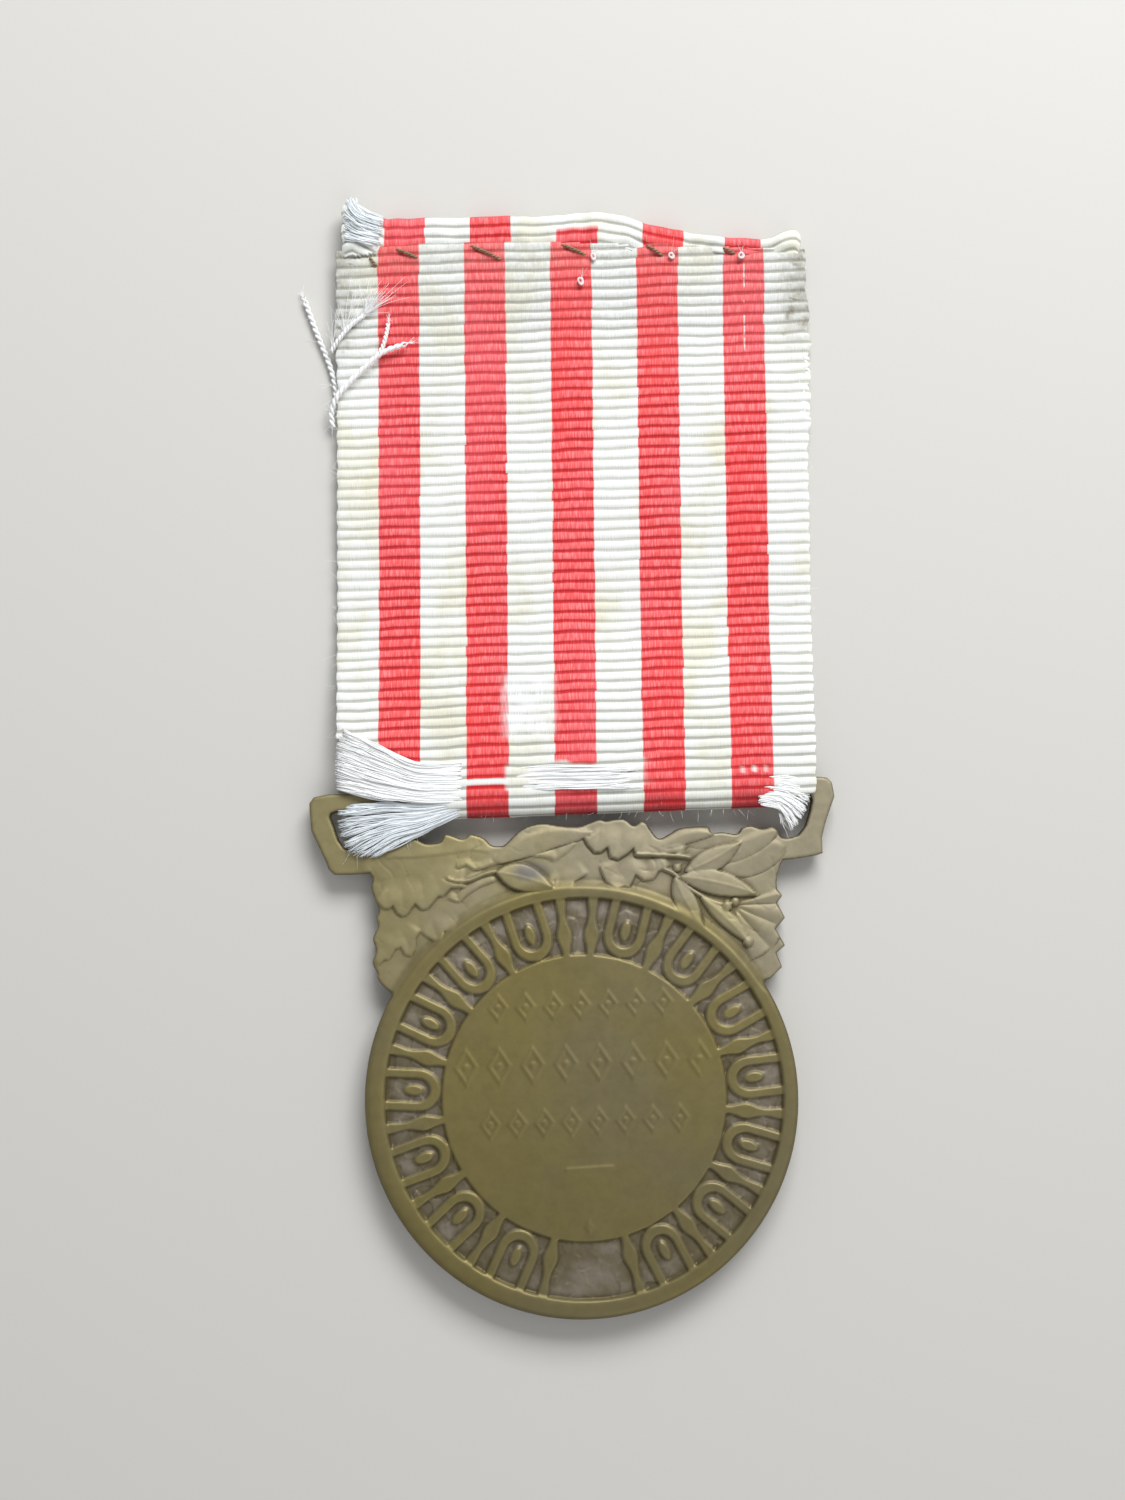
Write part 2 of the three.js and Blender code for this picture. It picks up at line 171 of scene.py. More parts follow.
def bundle(parts):
    """Several (points, faces) as one."""
    points, faces, start = [], [], 0
    for some_points, some_faces in parts:
        points.append(some_points)
        faces.extend(tuple(i + start for i in face) for face in some_faces)
        start += len(some_points)
    return np.vstack(points), faces


def cell_corners(grid):
    """The values at the four corners of each cell of a grid, in order round the cell."""
    return np.stack([grid[:-1, :-1], grid[:-1, 1:], grid[1:, 1:], grid[1:, :-1]], axis=-1)


def only_used(faces, count):
    """Which of count vertices the faces use, and the faces renumbered to those."""
    used = np.unique([vertex for face in faces for vertex in face])
    renumber = np.full(count, -1)
    renumber[used] = np.arange(len(used))
    renumber = renumber.tolist()
    return used, [tuple(renumber[vertex] for vertex in face) for face in faces]


def solid_between(upper, lower, faces):
    """A closed solid from two matching sets of vertices and the net of faces over the upper one."""
    count = len(upper)
    under = [tuple(vertex + count for vertex in reversed(face)) for face in faces]
    edges = [edge for face in faces for edge in zip(face, face[1:] + face[:1])]
    shared = set(edges)
    walls = [(b, a, a + count, b + count) for a, b in edges if (b, a) not in shared]
    return np.vstack([upper, lower]), faces + under + walls


# ------------------------------------------------------------------ materials: node helpers

class Nodes:
    """A material's node tree, with short calls for the nodes used here."""

    def __init__(self, name):
        self.material = bpy.data.materials.new(name)
        self.material.use_nodes = True
        self.tree = self.material.node_tree

    def put(self, inputs, values):
        """Links each value to its input if it comes out of a node, or else sets it there."""
        for key, value in values.items():
            if hasattr(value, "is_output"):
                self.tree.links.new(value, inputs[key])
            else:
                inputs[key].default_value = value

    def surface(self, values):
        self.put(self.tree.nodes["Principled BSDF"].inputs, values)

    def node(self, kind, values, **settings):
        made = self.tree.nodes.new(kind)
        for key, value in settings.items():
            setattr(made, key, value)
        self.put(made.inputs, values)
        return made.outputs

    def attribute(self, name):
        return self.node("ShaderNodeAttribute", {}, attribute_name=name)["Fac"]

    def position(self):
        return self.node("ShaderNodeTexCoord", {})["Object"]

    def scaled(self, vector, scale):
        return self.node("ShaderNodeMapping", {"Vector": vector, "Scale": scale})["Vector"]

    def noise(self, vector, scale, detail=4.0, rough=0.55):
        return self.node("ShaderNodeTexNoise", {"Vector": vector, "Scale": scale,
                                                "Detail": detail, "Roughness": rough})["Fac"]

    def math(self, operation, a, b=0.0, c=0.0):
        return self.node("ShaderNodeMath", {0: a, 1: b, 2: c}, operation=operation)[0]

    def times(self, first, *others):
        product = first
        for factor in others:
            product = self.math("MULTIPLY", product, factor)
        return product

    def ramp(self, value, low, high, out_low=0.0, out_high=1.0):
        """Goes smoothly from out_low to out_high as the value goes from low to high."""
        return self.node("ShaderNodeMapRange", {"Value": value, "From Min": low, "From Max": high,
                                                "To Min": out_low, "To Max": out_high},
                         interpolation_type="SMOOTHSTEP")["Result"]

    def blend(self, factor, a, b):
        return self.node("ShaderNodeMix", {0: factor, 6: a, 7: b}, data_type="RGBA")[2]

    def layered(self, colour, layers):
        """The colour under further ones, each given as (how much of it, red, green, blue)."""
        for amount, *tint in layers:
            colour = self.blend(amount, colour, srgb(*tint))
        return colour

    def bump(self, height, distance, strength):
        return self.node("ShaderNodeBump", {"Height": height, "Distance": distance,
                                            "Strength": strength})["Normal"]


def srgb(red, green, blue):
    """A colour given as it looks on a screen, 0 to 255, as the shader's linear values."""
    shares = [value / 255.0 for value in (red, green, blue)]
    linear = [v / 12.92 if v <= 0.04045 else ((v + 0.055) / 1.055) ** 2.4 for v in shares]
    return (*linear, 1.0)


# ------------------------------------------------------------------ medal: outline

WREATH_LEFT_EDGE = [
    (-14.27, 8.62), (-14.8, 9.06), (-15.25, 9.7), (-15.25, 10.1), (-15.6, 10.9), (-15.34, 11.6),
    (-15.34, 12.1), (-15.5, 12.8), (-15.1, 13.7), (-15.2, 14.3), (-15.0, 15.0), (-15.5, 16.5),
    (-15.35, 17.4),
]
EAR_LEFT = [
    (-15.6, 17.78), (-17.0, 17.74), (-18.3, 17.76), (-18.75, 18.16), (-18.97, 18.8), (-19.48, 20.0),
    (-20.0, 21.2), (-20.1, 22.8), (-20.1, 23.35), (-19.75, 23.8), (-18.6, 23.98),
]
EAR_RIGHT = [
    (18.8, 23.95), (19.88, 23.8), (20.25, 23.42), (20.4, 22.33), (20.0, 21.37), (19.6, 20.3),
    (19.28, 19.2), (19.28, 18.0), (18.75, 17.84), (17.0, 17.63), (16.2, 17.6),
]
WREATH_RIGHT_EDGE = [
    (15.95, 17.2), (15.7, 16.5), (15.6, 15.9), (15.62, 15.4), (16.0, 14.86), (15.57, 14.33),
    (16.13, 13.17), (15.38, 12.34), (16.05, 11.05), (15.35, 10.5), (15.75, 9.42), (14.85, 8.62),
    (14.44, 8.45),
]
BAR_HIGH = 1.4
SLOT_TOP = BAR_Y - BAR_HIGH / 2
SLOT_RIGHT = [
    (17.5, 19.45), (18.07, 20.15), (18.45, 21.2), (18.65, 22.1), (18.5, 22.5), (18.2, SLOT_TOP),
]
SLOT_LEFT = [
    (-18.1, SLOT_TOP), (-18.45, 22.5), (-18.55, 22.2), (-18.26, 21.4), (-17.95, 20.4),
    (-17.5, 19.75),
]
WREATH_TOP_EDGE = [
    (-17.4, 19.7), (-15.5, 19.85), (-13.1, 20.05), (-12.2, 20.35), (-11.2, 19.88), (-10.1, 19.97),
    (-9.65, 20.55), (-8.4, 20.14), (-7.7, 20.46), (-6.75, 20.12), (-6.15, 19.56), (-5.35, 19.5),
    (-5.0, 19.7), (-4.15, 20.45), (-3.25, 20.92), (-2.1, 21.08), (-0.75, 20.87), (0.5, 20.75),
    (1.45, 21.0), (2.2, 21.22), (2.7, 21.1), (3.6, 21.2), (4.15, 21.15), (4.83, 20.66),
    (5.38, 20.94), (5.75, 20.82), (6.1, 20.3), (6.5, 19.74), (6.9, 19.6), (7.65, 19.97),
    (8.45, 20.33), (10.45, 20.38), (10.75, 19.9), (11.65, 19.88), (12.73, 19.72), (13.2, 20.17),
    (13.85, 20.3), (14.7, 20.05), (15.45, 20.2), (15.9, 19.78), (16.1, 19.4), (16.6, 19.25),
    (17.5, 19.45),
]


def disc_arc(start, end, count):
    """Points of the disc's edge, clockwise below the wreath, without its two ends."""
    first = math.atan2(start[1], start[0])
    last = math.atan2(end[1], end[0]) - math.tau
    turns = np.linspace(first, last, count)[1:-1]
    return [(DISC_R * math.cos(t), DISC_R * math.sin(t)) for t in turns]


def outer_outline():
    """Up the wreath's left side, over the bar, down the right side, and round the disc."""
    left = curve_through(WREATH_LEFT_EDGE, 90).tolist()
    arc = disc_arc(WREATH_RIGHT_EDGE[-1], WREATH_LEFT_EDGE[0], 360)
    return np.array(left + EAR_LEFT + EAR_RIGHT + WREATH_RIGHT_EDGE + arc)


def slot_outline():
    top_edge = curve_through(WREATH_TOP_EDGE, 260).tolist()
    return np.array(SLOT_LEFT + top_edge[1:-1] + SLOT_RIGHT)


# ------------------------------------------------------------------ medal: fitted grid

GRID_STEP = 0.1
GRID_LOW = (-20.6, -17.0)
GRID_HIGH = (20.9, 24.5)
EDGE_REACH = 0.9                # how far in from the outline distances are worked out
SNAP = 0.36                     # grid points this near the outline, in steps, move onto it


class OutlineGrid:
    """A square grid of points and its distance to a set of closed outlines."""

    def __init__(self, outlines):
        xs = np.arange(GRID_LOW[0], GRID_HIGH[0], GRID_STEP)
        ys = np.arange(GRID_LOW[1], GRID_HIGH[1], GRID_STEP)
        self.x, self.y = np.meshgrid(xs, ys)
        self.inside = np.zeros(self.x.shape, bool)
        self.away = np.full(self.x.shape, EDGE_REACH)
        self.nearest = np.stack([self.x, self.y], axis=-1)
        for outline in outlines:
            for start, end in zip(outline, np.roll(outline, -1, axis=0)):
                self._cross(start, end)
                self._measure(start, end)

    def _cross(self, start, end):
        """Turns over the points to the right of one edge, so that inside points come out odd."""
        if start[1] == end[1]:
            return
        low, high = sorted((start[1], end[1]))
        ys = self.y[:, 0]
        rows = np.nonzero((ys >= low) & (ys < high))[0]
        if len(rows):
            at = start[0] + (ys[rows] - start[1]) / (end[1] - start[1]) * (end[0] - start[0])
            self.inside[rows] ^= self.x[rows] > at[:, None]

    def _measure(self, start, end):
        """Keeps the distance to one edge where it is the nearest so far."""
        lows = (np.minimum(start, end) - EDGE_REACH - GRID_LOW) / GRID_STEP
        highs = (np.maximum(start, end) + EDGE_REACH - GRID_LOW) / GRID_STEP
        columns, rows = (slice(max(int(low), 0), int(high) + 2) for low, high in zip(lows, highs))
        part = (rows, columns)
        x, y = self.x[part], self.y[part]
        run = end - start
        t = ((x - start[0]) * run[0] + (y - start[1]) * run[1]) / max(run.dot(run), 1e-12)
        t = np.clip(t, 0.0, 1.0)
        near = np.stack([start[0] + t * run[0], start[1] + t * run[1]], axis=-1)
        away = np.hypot(x - near[..., 0], y - near[..., 1])
        closer = away < self.away[part]
        self.away[part] = np.where(closer, away, self.away[part])
        self.nearest[part] = np.where(closer[..., None], near, self.nearest[part])

    def fitted(self):
        """Vertices (x, y), their distance in from the outline, and faces fitted to the outline."""
        on = self.away < SNAP * GRID_STEP
        kept = self.inside | on
        signed = np.where(self.inside, self.away, -self.away)
        number = np.arange(self.x.size).reshape(self.x.shape)
        all_kept = cell_corners(kept).all(axis=-1)
        all_on = cell_corners(on).all(axis=-1)
        middle_in = cell_corners(signed).sum(axis=-1) > 0
        whole = all_kept & (~all_on | middle_in)
        cut = cell_corners(self.inside & ~on).any(axis=-1) & ~all_kept

        kept, on, signed = kept.ravel(), on.ravel(), signed.ravel()
        grid_points = np.column_stack([self.x.ravel(), self.y.ravel()])
        crossings, crossing_points = {}, []

        def crossing(inner, outer):
            """The vertex where the outline cuts the grid's edge from a kept to a lost point."""
            if (inner, outer) not in crossings:
                share = signed[inner] / (signed[inner] - signed[outer])
                here, there = grid_points[inner], grid_points[outer]
                crossings[inner, outer] = len(grid_points) + len(crossing_points)
                crossing_points.append(here + share * (there - here))
            return crossings[inner, outer]

        faces = [tuple(corners) for corners in cell_corners(number)[whole].tolist()]
        for corners in cell_corners(number)[cut].tolist():
            face = []
            for a, b in zip(corners, corners[1:] + corners[:1]):
                if kept[a]:
                    face.append(a)
                if kept[a] != kept[b]:
                    inner, outer = (a, b) if kept[a] else (b, a)
                    if not on[inner]:
                        face.append(crossing(inner, outer))
            if len(face) >= 3:
                faces.append(tuple(face))
        snapped = np.where(on[:, None], self.nearest.reshape(-1, 2), grid_points)
        points = np.vstack([snapped, *crossing_points])
        depths = np.append(np.where(on, 0.0, self.away.ravel()), np.zeros(len(crossing_points)))
        used, faces = only_used(faces, len(points))
        return points[used], depths[used], faces


# ------------------------------------------------------------------ medal: relief

# Heights are measured from the side that lies down, radii from the disc's centre
MEDAL_THICK = 2.5
FIELD_R = 10.85
BAND_FLOOR = 2.1
BAND_ORNAMENT = 2.32
FIELD_TOP = 2.32
RIM_IN_R = 15.15
RIM_MIDDLE_R = 15.8
WREATH_FROM_R = 16.6            # the disc's own edge lies inside this, the wreath's outside
DISC_ROUNDING = 0.34            # radius of the rounded edge of the disc
WREATH_ROUNDING = 0.22          # and of the wreath and the loop
OFF_CENTRE = (0.2, 0.13)        # the reverse's die sat slightly off the disc's centre
LOOP_HALF = 0.65
JOINT_LOW, JOINT_HIGH = 7.4, 8.6  # heights between which the rim gives way to the wreath
WREATH_FLOOR = 2.04
EGG_STEP = 23.0                 # degrees between the eggs of the border
EGGS = 7                        # on each side
FIRST_DART = 4.8                # degrees from the top to the first dart
STROKE = 0.74                   # width of the border's raised lines


def distance_to_line(x, y, start, end):
    """Distance of each point from the straight line between start and end."""
    run = np.subtract(end, start)
    t = ((x - start[0]) * run[0] + (y - start[1]) * run[1]) / max(run.dot(run), 1e-9)
    t = np.clip(t, 0.0, 1.0)
    return np.hypot(x - start[0] - t * run[0], y - start[1] - t * run[1])


def border_ornament(x, y):
    """Egg-and-dart round the band: how far inside a raised line each point is."""
    radius = np.hypot(x, y)
    up = radius - FIELD_R
    turn = np.abs(np.degrees(np.arctan2(x, y))) - FIRST_DART    # from the first dart, either way
    dart = np.clip(np.round(turn / EGG_STEP), 0, EGGS)
    across = np.radians(turn - dart * EGG_STEP) * radius
    swell = 0.3 * np.exp(-((up - 1.5) / 0.8) ** 2) + 0.12 * smooth(3.0, 4.2, up)
    dart_inside = STROKE * 0.42 + swell - np.abs(across)
    egg = np.clip(np.round(turn / EGG_STEP - 0.5), 0, EGGS - 1)
    across = np.radians(turn - (egg + 0.5) * EGG_STEP) * radius
    shell = np.abs(np.hypot(across, np.minimum(up - 1.95, 0.0) * 0.85) - 1.24)
    boss_inside = (1.0 - np.hypot(across / 0.42, (up - 2.15) / 0.85)) * 0.42
    return np.maximum.reduce([dart_inside, STROKE / 2 - shell, boss_inside])


def crystals(x, y):
    """Thin veins and slightly tilted facets about 1 mm wide, as old lacquer leaves on the band."""
    rng = np.random.default_rng(17)
    across = np.arange(-15.5, 15.6)
    seeds = np.array([(a, b) for a in across for b in across if 9.5 < math.hypot(a, b) < 16.5])
    seeds = seeds + rng.uniform(-0.5, 0.5, seeds.shape)
    first, second = np.full(x.shape, 1e9), np.full(x.shape, 1e9)
    tilt = np.zeros(x.shape)
    for seed_x, seed_y in seeds:
        lean_x, lean_y = rng.uniform(-0.05, 0.05, 2)
        away = np.hypot(x - seed_x, y - seed_y)
        closer = away < first
        second = np.where(closer, first, np.minimum(second, away))
        first = np.where(closer, away, first)
        tilt = np.where(closer, (x - seed_x) * lean_x + (y - seed_y) * lean_y, tilt)
    patches = np.clip(0.4 + waves(x, y, 18, size=2.0), 0, 1)
    return tilt + 0.045 * np.exp(-((second - first) / 0.09) ** 2) * patches


# Rows of lozenges on the field: height of the row's middle, half its width, how many, their height
FIELD_ROWS = [(7.0, 6.3, 7, 2.1), (2.6, 8.9, 8, 2.9), (-1.8, 7.2, 8, 2.1)]


def field_ornament(x, y):
    """Faint rows of lozenges with a dot in each, a dash and a small lozenge below them."""
    inside = np.full(x.shape, -1.0)
    for middle, half, count, high in FIELD_ROWS:
        pitch = 2 * half / (count - 1)
        index = np.clip(np.round((x + half) / pitch), 0, count - 1)
        across = x + half - index * pitch
        lozenge = np.abs(across) / (0.36 * pitch) + np.abs(y - middle) / (high / 2)
        inside = np.maximum(inside, 0.16 - np.abs(lozenge - 0.86) * 0.36 * pitch)
        inside = np.maximum(inside, 0.24 - np.hypot(across, y - middle))
    inside = np.maximum(inside, 0.16 - distance_to_line(x, y, (-1.5, -5.4), (1.9, -5.3)))
    mark = (np.abs(x) / 0.35 + np.abs(y + 9.7) / 0.5 - 1.0) * 0.35
    return np.maximum(inside, -mark)


# Smooth lobes and laurel leaves, lowest first: kind, stem end, middle, tip, half width, rise
LAUREL, LOBE = "laurel", "lobe"
LEAVES = [
    (LOBE, (11.3, 17.2), (13.6, 18.2), (16.4, 18.6), 1.5, 0.05),
    (LOBE, (-5.8, 18.3), (-3.0, 20.4), (1.6, 20.3), 0.95, 0.1),
    (LOBE, (7.0, 19.0), (9.0, 20.15), (11.1, 19.95), 0.62, 0.13),
    (LOBE, (11.2, 17.8), (13.9, 19.0), (15.9, 20.1), 0.8, 0.1),
    (LAUREL, (8.6, 17.0), (10.6, 17.5), (13.0, 19.1), 0.9, 0.16),
    (LAUREL, (7.8, 16.6), (8.4, 14.6), (9.9, 12.4), 0.85, 0.18),
    (LAUREL, (9.7, 15.0), (11.7, 13.4), (13.5, 11.1), 0.62, 0.17),
    (LAUREL, (8.1, 16.6), (11.2, 16.2), (14.1, 15.0), 0.95, 0.26),
    (LAUREL, (-5.9, 17.45), (-3.9, 17.2), (-1.5, 16.1), 1.05, 0.34),
]
# Lower edges of the oak leaves: the leaf stands above the ground on the left of each line,
# with its rise and the distance over which it melts into the ground
EDGES = [
    ([(-14.6, 18.8), (-12.0, 18.8), (-9.3, 19.0), (-7.7, 19.2), (-6.1, 18.9)], 0.06, 0.9),
    ([(-15.3, 10.5), (-14.7, 11.1), (-14.3, 11.1), (-13.8, 11.9), (-13.4, 12.0), (-13.1, 11.4),
      (-12.6, 11.3), (-12.3, 11.8), (-12.2, 12.7), (-11.7, 13.4)], 0.15, 1.5),
    ([(-12.0, 13.3), (-11.5, 12.8), (-10.8, 12.4), (-10.3, 12.4), (-10.0, 13.1), (-9.6, 13.1),
      (-9.1, 12.9)], 0.15, 1.5),
    ([(-9.9, 15.6), (-9.5, 15.5), (-9.0, 15.3), (-8.7, 15.3), (-8.2, 15.8), (-7.2, 16.4),
      (-5.7, 16.9)], 0.15, 0.8),
    ([(-15.5, 15.9), (-14.6, 15.0), (-14.2, 15.0), (-13.9, 15.2), (-13.6, 14.6), (-13.2, 14.35),
      (-12.8, 14.5), (-12.2, 15.3), (-11.7, 14.8), (-11.2, 14.9), (-10.4, 15.8), (-10.0, 15.8),
      (-9.4, 16.4), (-8.1, 16.4)], 0.2, 2.2),
    ([(-10.2, 17.4), (-9.8, 17.2), (-8.8, 16.8), (-8.2, 16.8), (-7.2, 17.2), (-5.4, 17.4)],
     0.14, 0.6),
    ([(-9.2, 18.0), (-8.8, 17.9), (-8.2, 18.1), (-7.6, 17.7), (-6.9, 17.8), (-5.8, 18.2)],
     0.14, 0.7),
    ([(-6.2, 18.0), (-4.6, 18.5), (-3.1, 18.6), (-1.7, 18.4), (-1.1, 18.0)], 0.14, 0.9),
    ([(-2.2, 18.5), (-1.4, 18.1), (-0.2, 18.9), (0.5, 19.6)], 0.1, 0.8),
    ([(-2.4, 16.5), (-1.8, 16.1), (-1.3, 15.5), (-0.7, 15.8), (-0.3, 15.8), (0.1, 16.5),
      (0.5, 16.75), (1.3, 17.2)], 0.17, 1.5),
    ([(2.0, 17.9), (2.2, 17.1), (2.5, 16.4), (3.3, 15.85), (3.9, 16.0), (4.3, 15.9), (4.8, 16.9),
      (5.4, 16.4), (6.2, 16.5), (6.6, 17.1), (7.6, 17.5)], 0.22, 1.5),
    ([(0.8, 20.1), (1.2, 19.3), (1.7, 18.7), (2.2, 18.7), (2.75, 19.1), (2.9, 18.3), (3.5, 18.1),
      (4.2, 18.5), (4.7, 18.9), (4.9, 18.3), (5.9, 18.2), (6.6, 18.4), (7.8, 18.4), (8.8, 18.2)],
     0.26, 2.0),
]
STEMS = [
    ([(-10.0, 17.3), (-9.0, 16.95), (-8.0, 16.95), (-6.6, 17.45), (-5.4, 17.6)], 0.2, 0.28),
    ([(4.5, 18.5), (6.6, 18.35), (8.6, 18.15), (9.4, 17.9)], 0.2, 0.36),
    ([(6.6, 17.4), (7.7, 16.9), (8.8, 15.8), (10.3, 14.8), (12.2, 14.1)], 0.2, 0.26),
]
BERRIES = [(11.7, 14.25, 0.4), (12.35, 14.55, 0.3), (13.2, 11.45, 0.38), (8.0, 17.3, 0.3)]
FAN_CENTRE = (12.1, 14.3)
FAN_R = 4.4


def leaf_inside(x, y, kind, stem, middle, tip, half):
    """How far inside a leaf each point is, its place across and along, and how much it faces up."""
    shares = np.linspace(0.0, 1.0, 72)
    t = shares[:, None]
    spine = (1 - t) ** 2 * np.array(stem) + 2 * t * (1 - t) * np.array(middle) + t * t * np.array(tip)
    best = np.full(x.shape, 1e9)
    along, across, facing = np.zeros(x.shape), np.zeros(x.shape), np.zeros(x.shape)
    for share, point, way in zip(shares, spine, unit(np.gradient(spine, axis=0))):
        away = np.hypot(x - point[0], y - point[1])
        closer = away < best
        best = np.where(closer, away, best)
        along = np.where(closer, share, along)
        side = (x - point[0]) * -way[1] + (y - point[1]) * way[0]
        across = np.where(closer, side, across)
        facing = np.where(closer, (y - point[1]) / np.maximum(away, 1e-3), facing)
    power = 0.85 if kind == LAUREL else 0.45
    width = np.maximum(half * np.sin(np.pi * np.clip(along, 0, 1) ** 0.9) ** power, 1e-3)
    return width - best, np.clip(across / width, -1, 1), along, facing


def height_over_edge(x, y, line):
    """Signed distance from a line, positive on its left, and a taper that dies out at its ends."""
    line = np.asarray(line, float)
    lengths = np.linalg.norm(np.diff(line, axis=0), axis=1)
    total, run = lengths.sum(), 0.0
    best, side, place = np.full(x.shape, 1e9), np.zeros(x.shape), np.zeros(x.shape)
    for start, end, length in zip(line, line[1:], lengths):
        way = (end - start) / length
        t = np.clip((x - start[0]) * way[0] + (y - start[1]) * way[1], 0.0, length)
        away = np.hypot(x - start[0] - t * way[0], y - start[1] - t * way[1])
        cross = way[0] * (y - start[1]) - way[1] * (x - start[0])
        closer = (away < best - 1e-6) | ((away < best + 1e-6) & (np.abs(cross) > np.abs(side)))
        best = np.where(closer, away, best)
        side = np.where(closer, cross, side)
        place = np.where(closer, run + t, place)
        run += length
    ends = smooth(0.0, 0.5, place) * (1 - smooth(total - 0.5, total, place))
    return np.where(side > 0, best, -best), ends


def wreath_ground(x, y):
    """The wreath's uneven ground, with a few worn creases."""
    ground = WREATH_FLOOR + 0.018 * waves(x, y, 5, size=5.0) + 0.006 * waves(x, y, 6, size=1.6)
    crease = np.exp(-(waves(x, y, 7, octaves=3, size=4.2) / 0.05) ** 2)
    return ground - 0.035 * crease * smooth(0.0, 0.35, waves(x, y, 8, octaves=2, size=5.5))


def fan_of_leaves(x, y):
    """Rise of the fan of narrow ribbed leaves at the right."""
    x, y = x - FAN_CENTRE[0], y - FAN_CENTRE[1]
    radius, turn = np.hypot(x, y), np.degrees(np.arctan2(y, x))
    inside = smooth(-78, -70, turn) * (1 - smooth(10, 18, turn)) * smooth(0.4, 1.0, radius)
    fold = np.abs(np.sin(np.radians(turn * 7.2)))
    return (0.02 + 0.13 * fold ** 0.8) * inside * (radius < FAN_R)


def add_oak_edges(x, y, z):
    """Each oak leaf stands out along its lower edge, above a fine groove."""
    near = np.nonzero((y > 7.5) & (np.hypot(x, y) > 14.5))[0]
    near_x, near_y, relief = x[near], y[near], np.zeros(len(near))
    for line, rise, reach in EDGES:
        over, ends = height_over_edge(near_x, near_y, line)
        step = 0.9 * smooth(-0.05, 0.07, over) * (1 - smooth(0.1 * reach, reach, over))
        groove = 0.045 * np.exp(-((over + 0.08) / 0.11) ** 2)
        relief = np.maximum(relief, rise * step * ends) - groove * ends
    z[near] += relief


def add_leaf(x, y, z, ground, leaf):
    """A leaf with a crown, a groove under its lower side and, on laurel, a vein."""
    kind, stem, middle, tip, half, rise = leaf
    laurel = 1.0 if kind == LAUREL else 0.0
    reach = math.dist(stem, tip) / 2 + half + 1.2
    near = np.nonzero(np.hypot(x - (stem[0] + tip[0]) / 2, y - (stem[1] + tip[1]) / 2) < reach)[0]
    inside, across, along, facing = leaf_inside(x[near], y[near], kind, stem, middle, tip, half)
    crown = mix(0.05, 0.13, laurel) * (1 - across ** 2)
    vein = 0.045 * laurel * np.exp(-(across * half / 0.09) ** 2) * np.sin(np.pi * along) ** 0.3
    groove = 0.05 * np.exp(-(inside / 0.13) ** 2) * (inside < 0) * smooth(0.5, -0.2, facing)
    here = z[near] - groove
    top = np.maximum(ground[near] + rise + crown + vein, here - 0.02)
    soft = 0.09 + 0.5 * smooth(0.0, 0.9, facing) * (1 - laurel)
    z[near] = mix(here, top, smooth(-0.05, soft, inside))


def wreath_relief(x, y):
    """Height of the wreath's side: shallow leaves, crisp below and melting into the ground above."""
    ground = wreath_ground(x, y)
    z = ground + fan_of_leaves(x, y)
    add_oak_edges(x, y, z)
    for leaf in LEAVES:
        add_leaf(x, y, z, ground, leaf)
    for route, half, rise in STEMS:
        over, ends = height_over_edge(x, y, curve_through(route, 24))
        ridge = ground + rise * smooth(half, half * 0.2, np.abs(over))
        z = np.maximum(z, mix(z - 0.3, ridge, np.maximum(ends, 0.3)))
    for berry_x, berry_y, radius in BERRIES:
        away = np.hypot(x - berry_x, y - berry_y)
        ball = ground + 0.15 + np.sqrt(np.maximum(radius ** 2 - away ** 2, 0.0)) * 0.6
        z = np.where(away < radius, np.maximum(z, ball), z)
    return z


def disc_relief(x, y):
    """Height of the reverse's disc: rim, recessed border with its ornament, and raised field."""
    x, y = x - OFF_CENTRE[0], y - OFF_CENTRE[1]
    radius = np.hypot(x, y)
    floor = BAND_FLOOR + 0.02 * waves(x, y, 11, octaves=5, size=2.2) + crystals(x, y)
    raised = smooth(-0.07, 0.13, border_ornament(x, y))
    band = mix(floor, BAND_ORNAMENT + 0.012 * waves(x, y, 12, size=1.5), raised)
    field = FIELD_TOP + 0.06 * smooth(-0.13, 0.14, field_ornament(x, y))
    z = mix(field, band, smooth(FIELD_R - 0.12, FIELD_R + 0.1, radius))
    crown = MEDAL_THICK - 0.1 * np.clip(np.abs(radius - RIM_MIDDLE_R) / 0.72, 0, 1) ** 2.5
    return mix(z, crown, smooth(RIM_IN_R - 0.12, RIM_IN_R + 0.12, radius))


def frame_zone(x, y):
    """1 on the flat loop with its ears and bar, 0 on the wreath."""
    ears = smooth(15.7, 16.9, np.abs(x - 0.1))
    return np.clip(ears + smooth(21.6, 22.0, y), 0.0, 1.0)


def edge_drop(depth, radius):
    """How far the rounded edge has fallen, at a depth in from the outline."""
    rounding = np.where(radius < WREATH_FROM_R, DISC_ROUNDING, WREATH_ROUNDING)
    t = np.clip(depth / rounding, 0.0, 1.0)
    return rounding * (1.0 - np.sqrt(np.clip(1.0 - (1.0 - t) ** 2, 0.0, 1.0)))


def reverse_height(x, y, depth):
    """Height of the side that faces up."""
    radius = np.hypot(x, y)
    wreath = wreath_relief(x, y)
    loop = MID_Z + LOOP_HALF + 0.012 * waves(x, y, 21, size=3.0)
    outer = mix(wreath, loop, frame_zone(x, y))
    disc = disc_relief(x, y)
    bud = smooth(1.6, 1.2, distance_to_line(x, y, (-5.0, 17.2), (-2.4, 16.5)))
    disc = mix(disc, np.maximum(disc, wreath + 0.02), bud * (radius > 15.4))
    joint = smooth(15.95, 16.8, radius) * smooth(JOINT_LOW, JOINT_HIGH, y)
    return mix(disc, outer, joint) - edge_drop(depth, radius)


STAR_R = 8.4
STAR_STEP = 72.0                # degrees between the star's points
TICKS_R = 13.4
TICK_STEP = 6.0                 # degrees between the ticks
TICK_LONG = 0.9


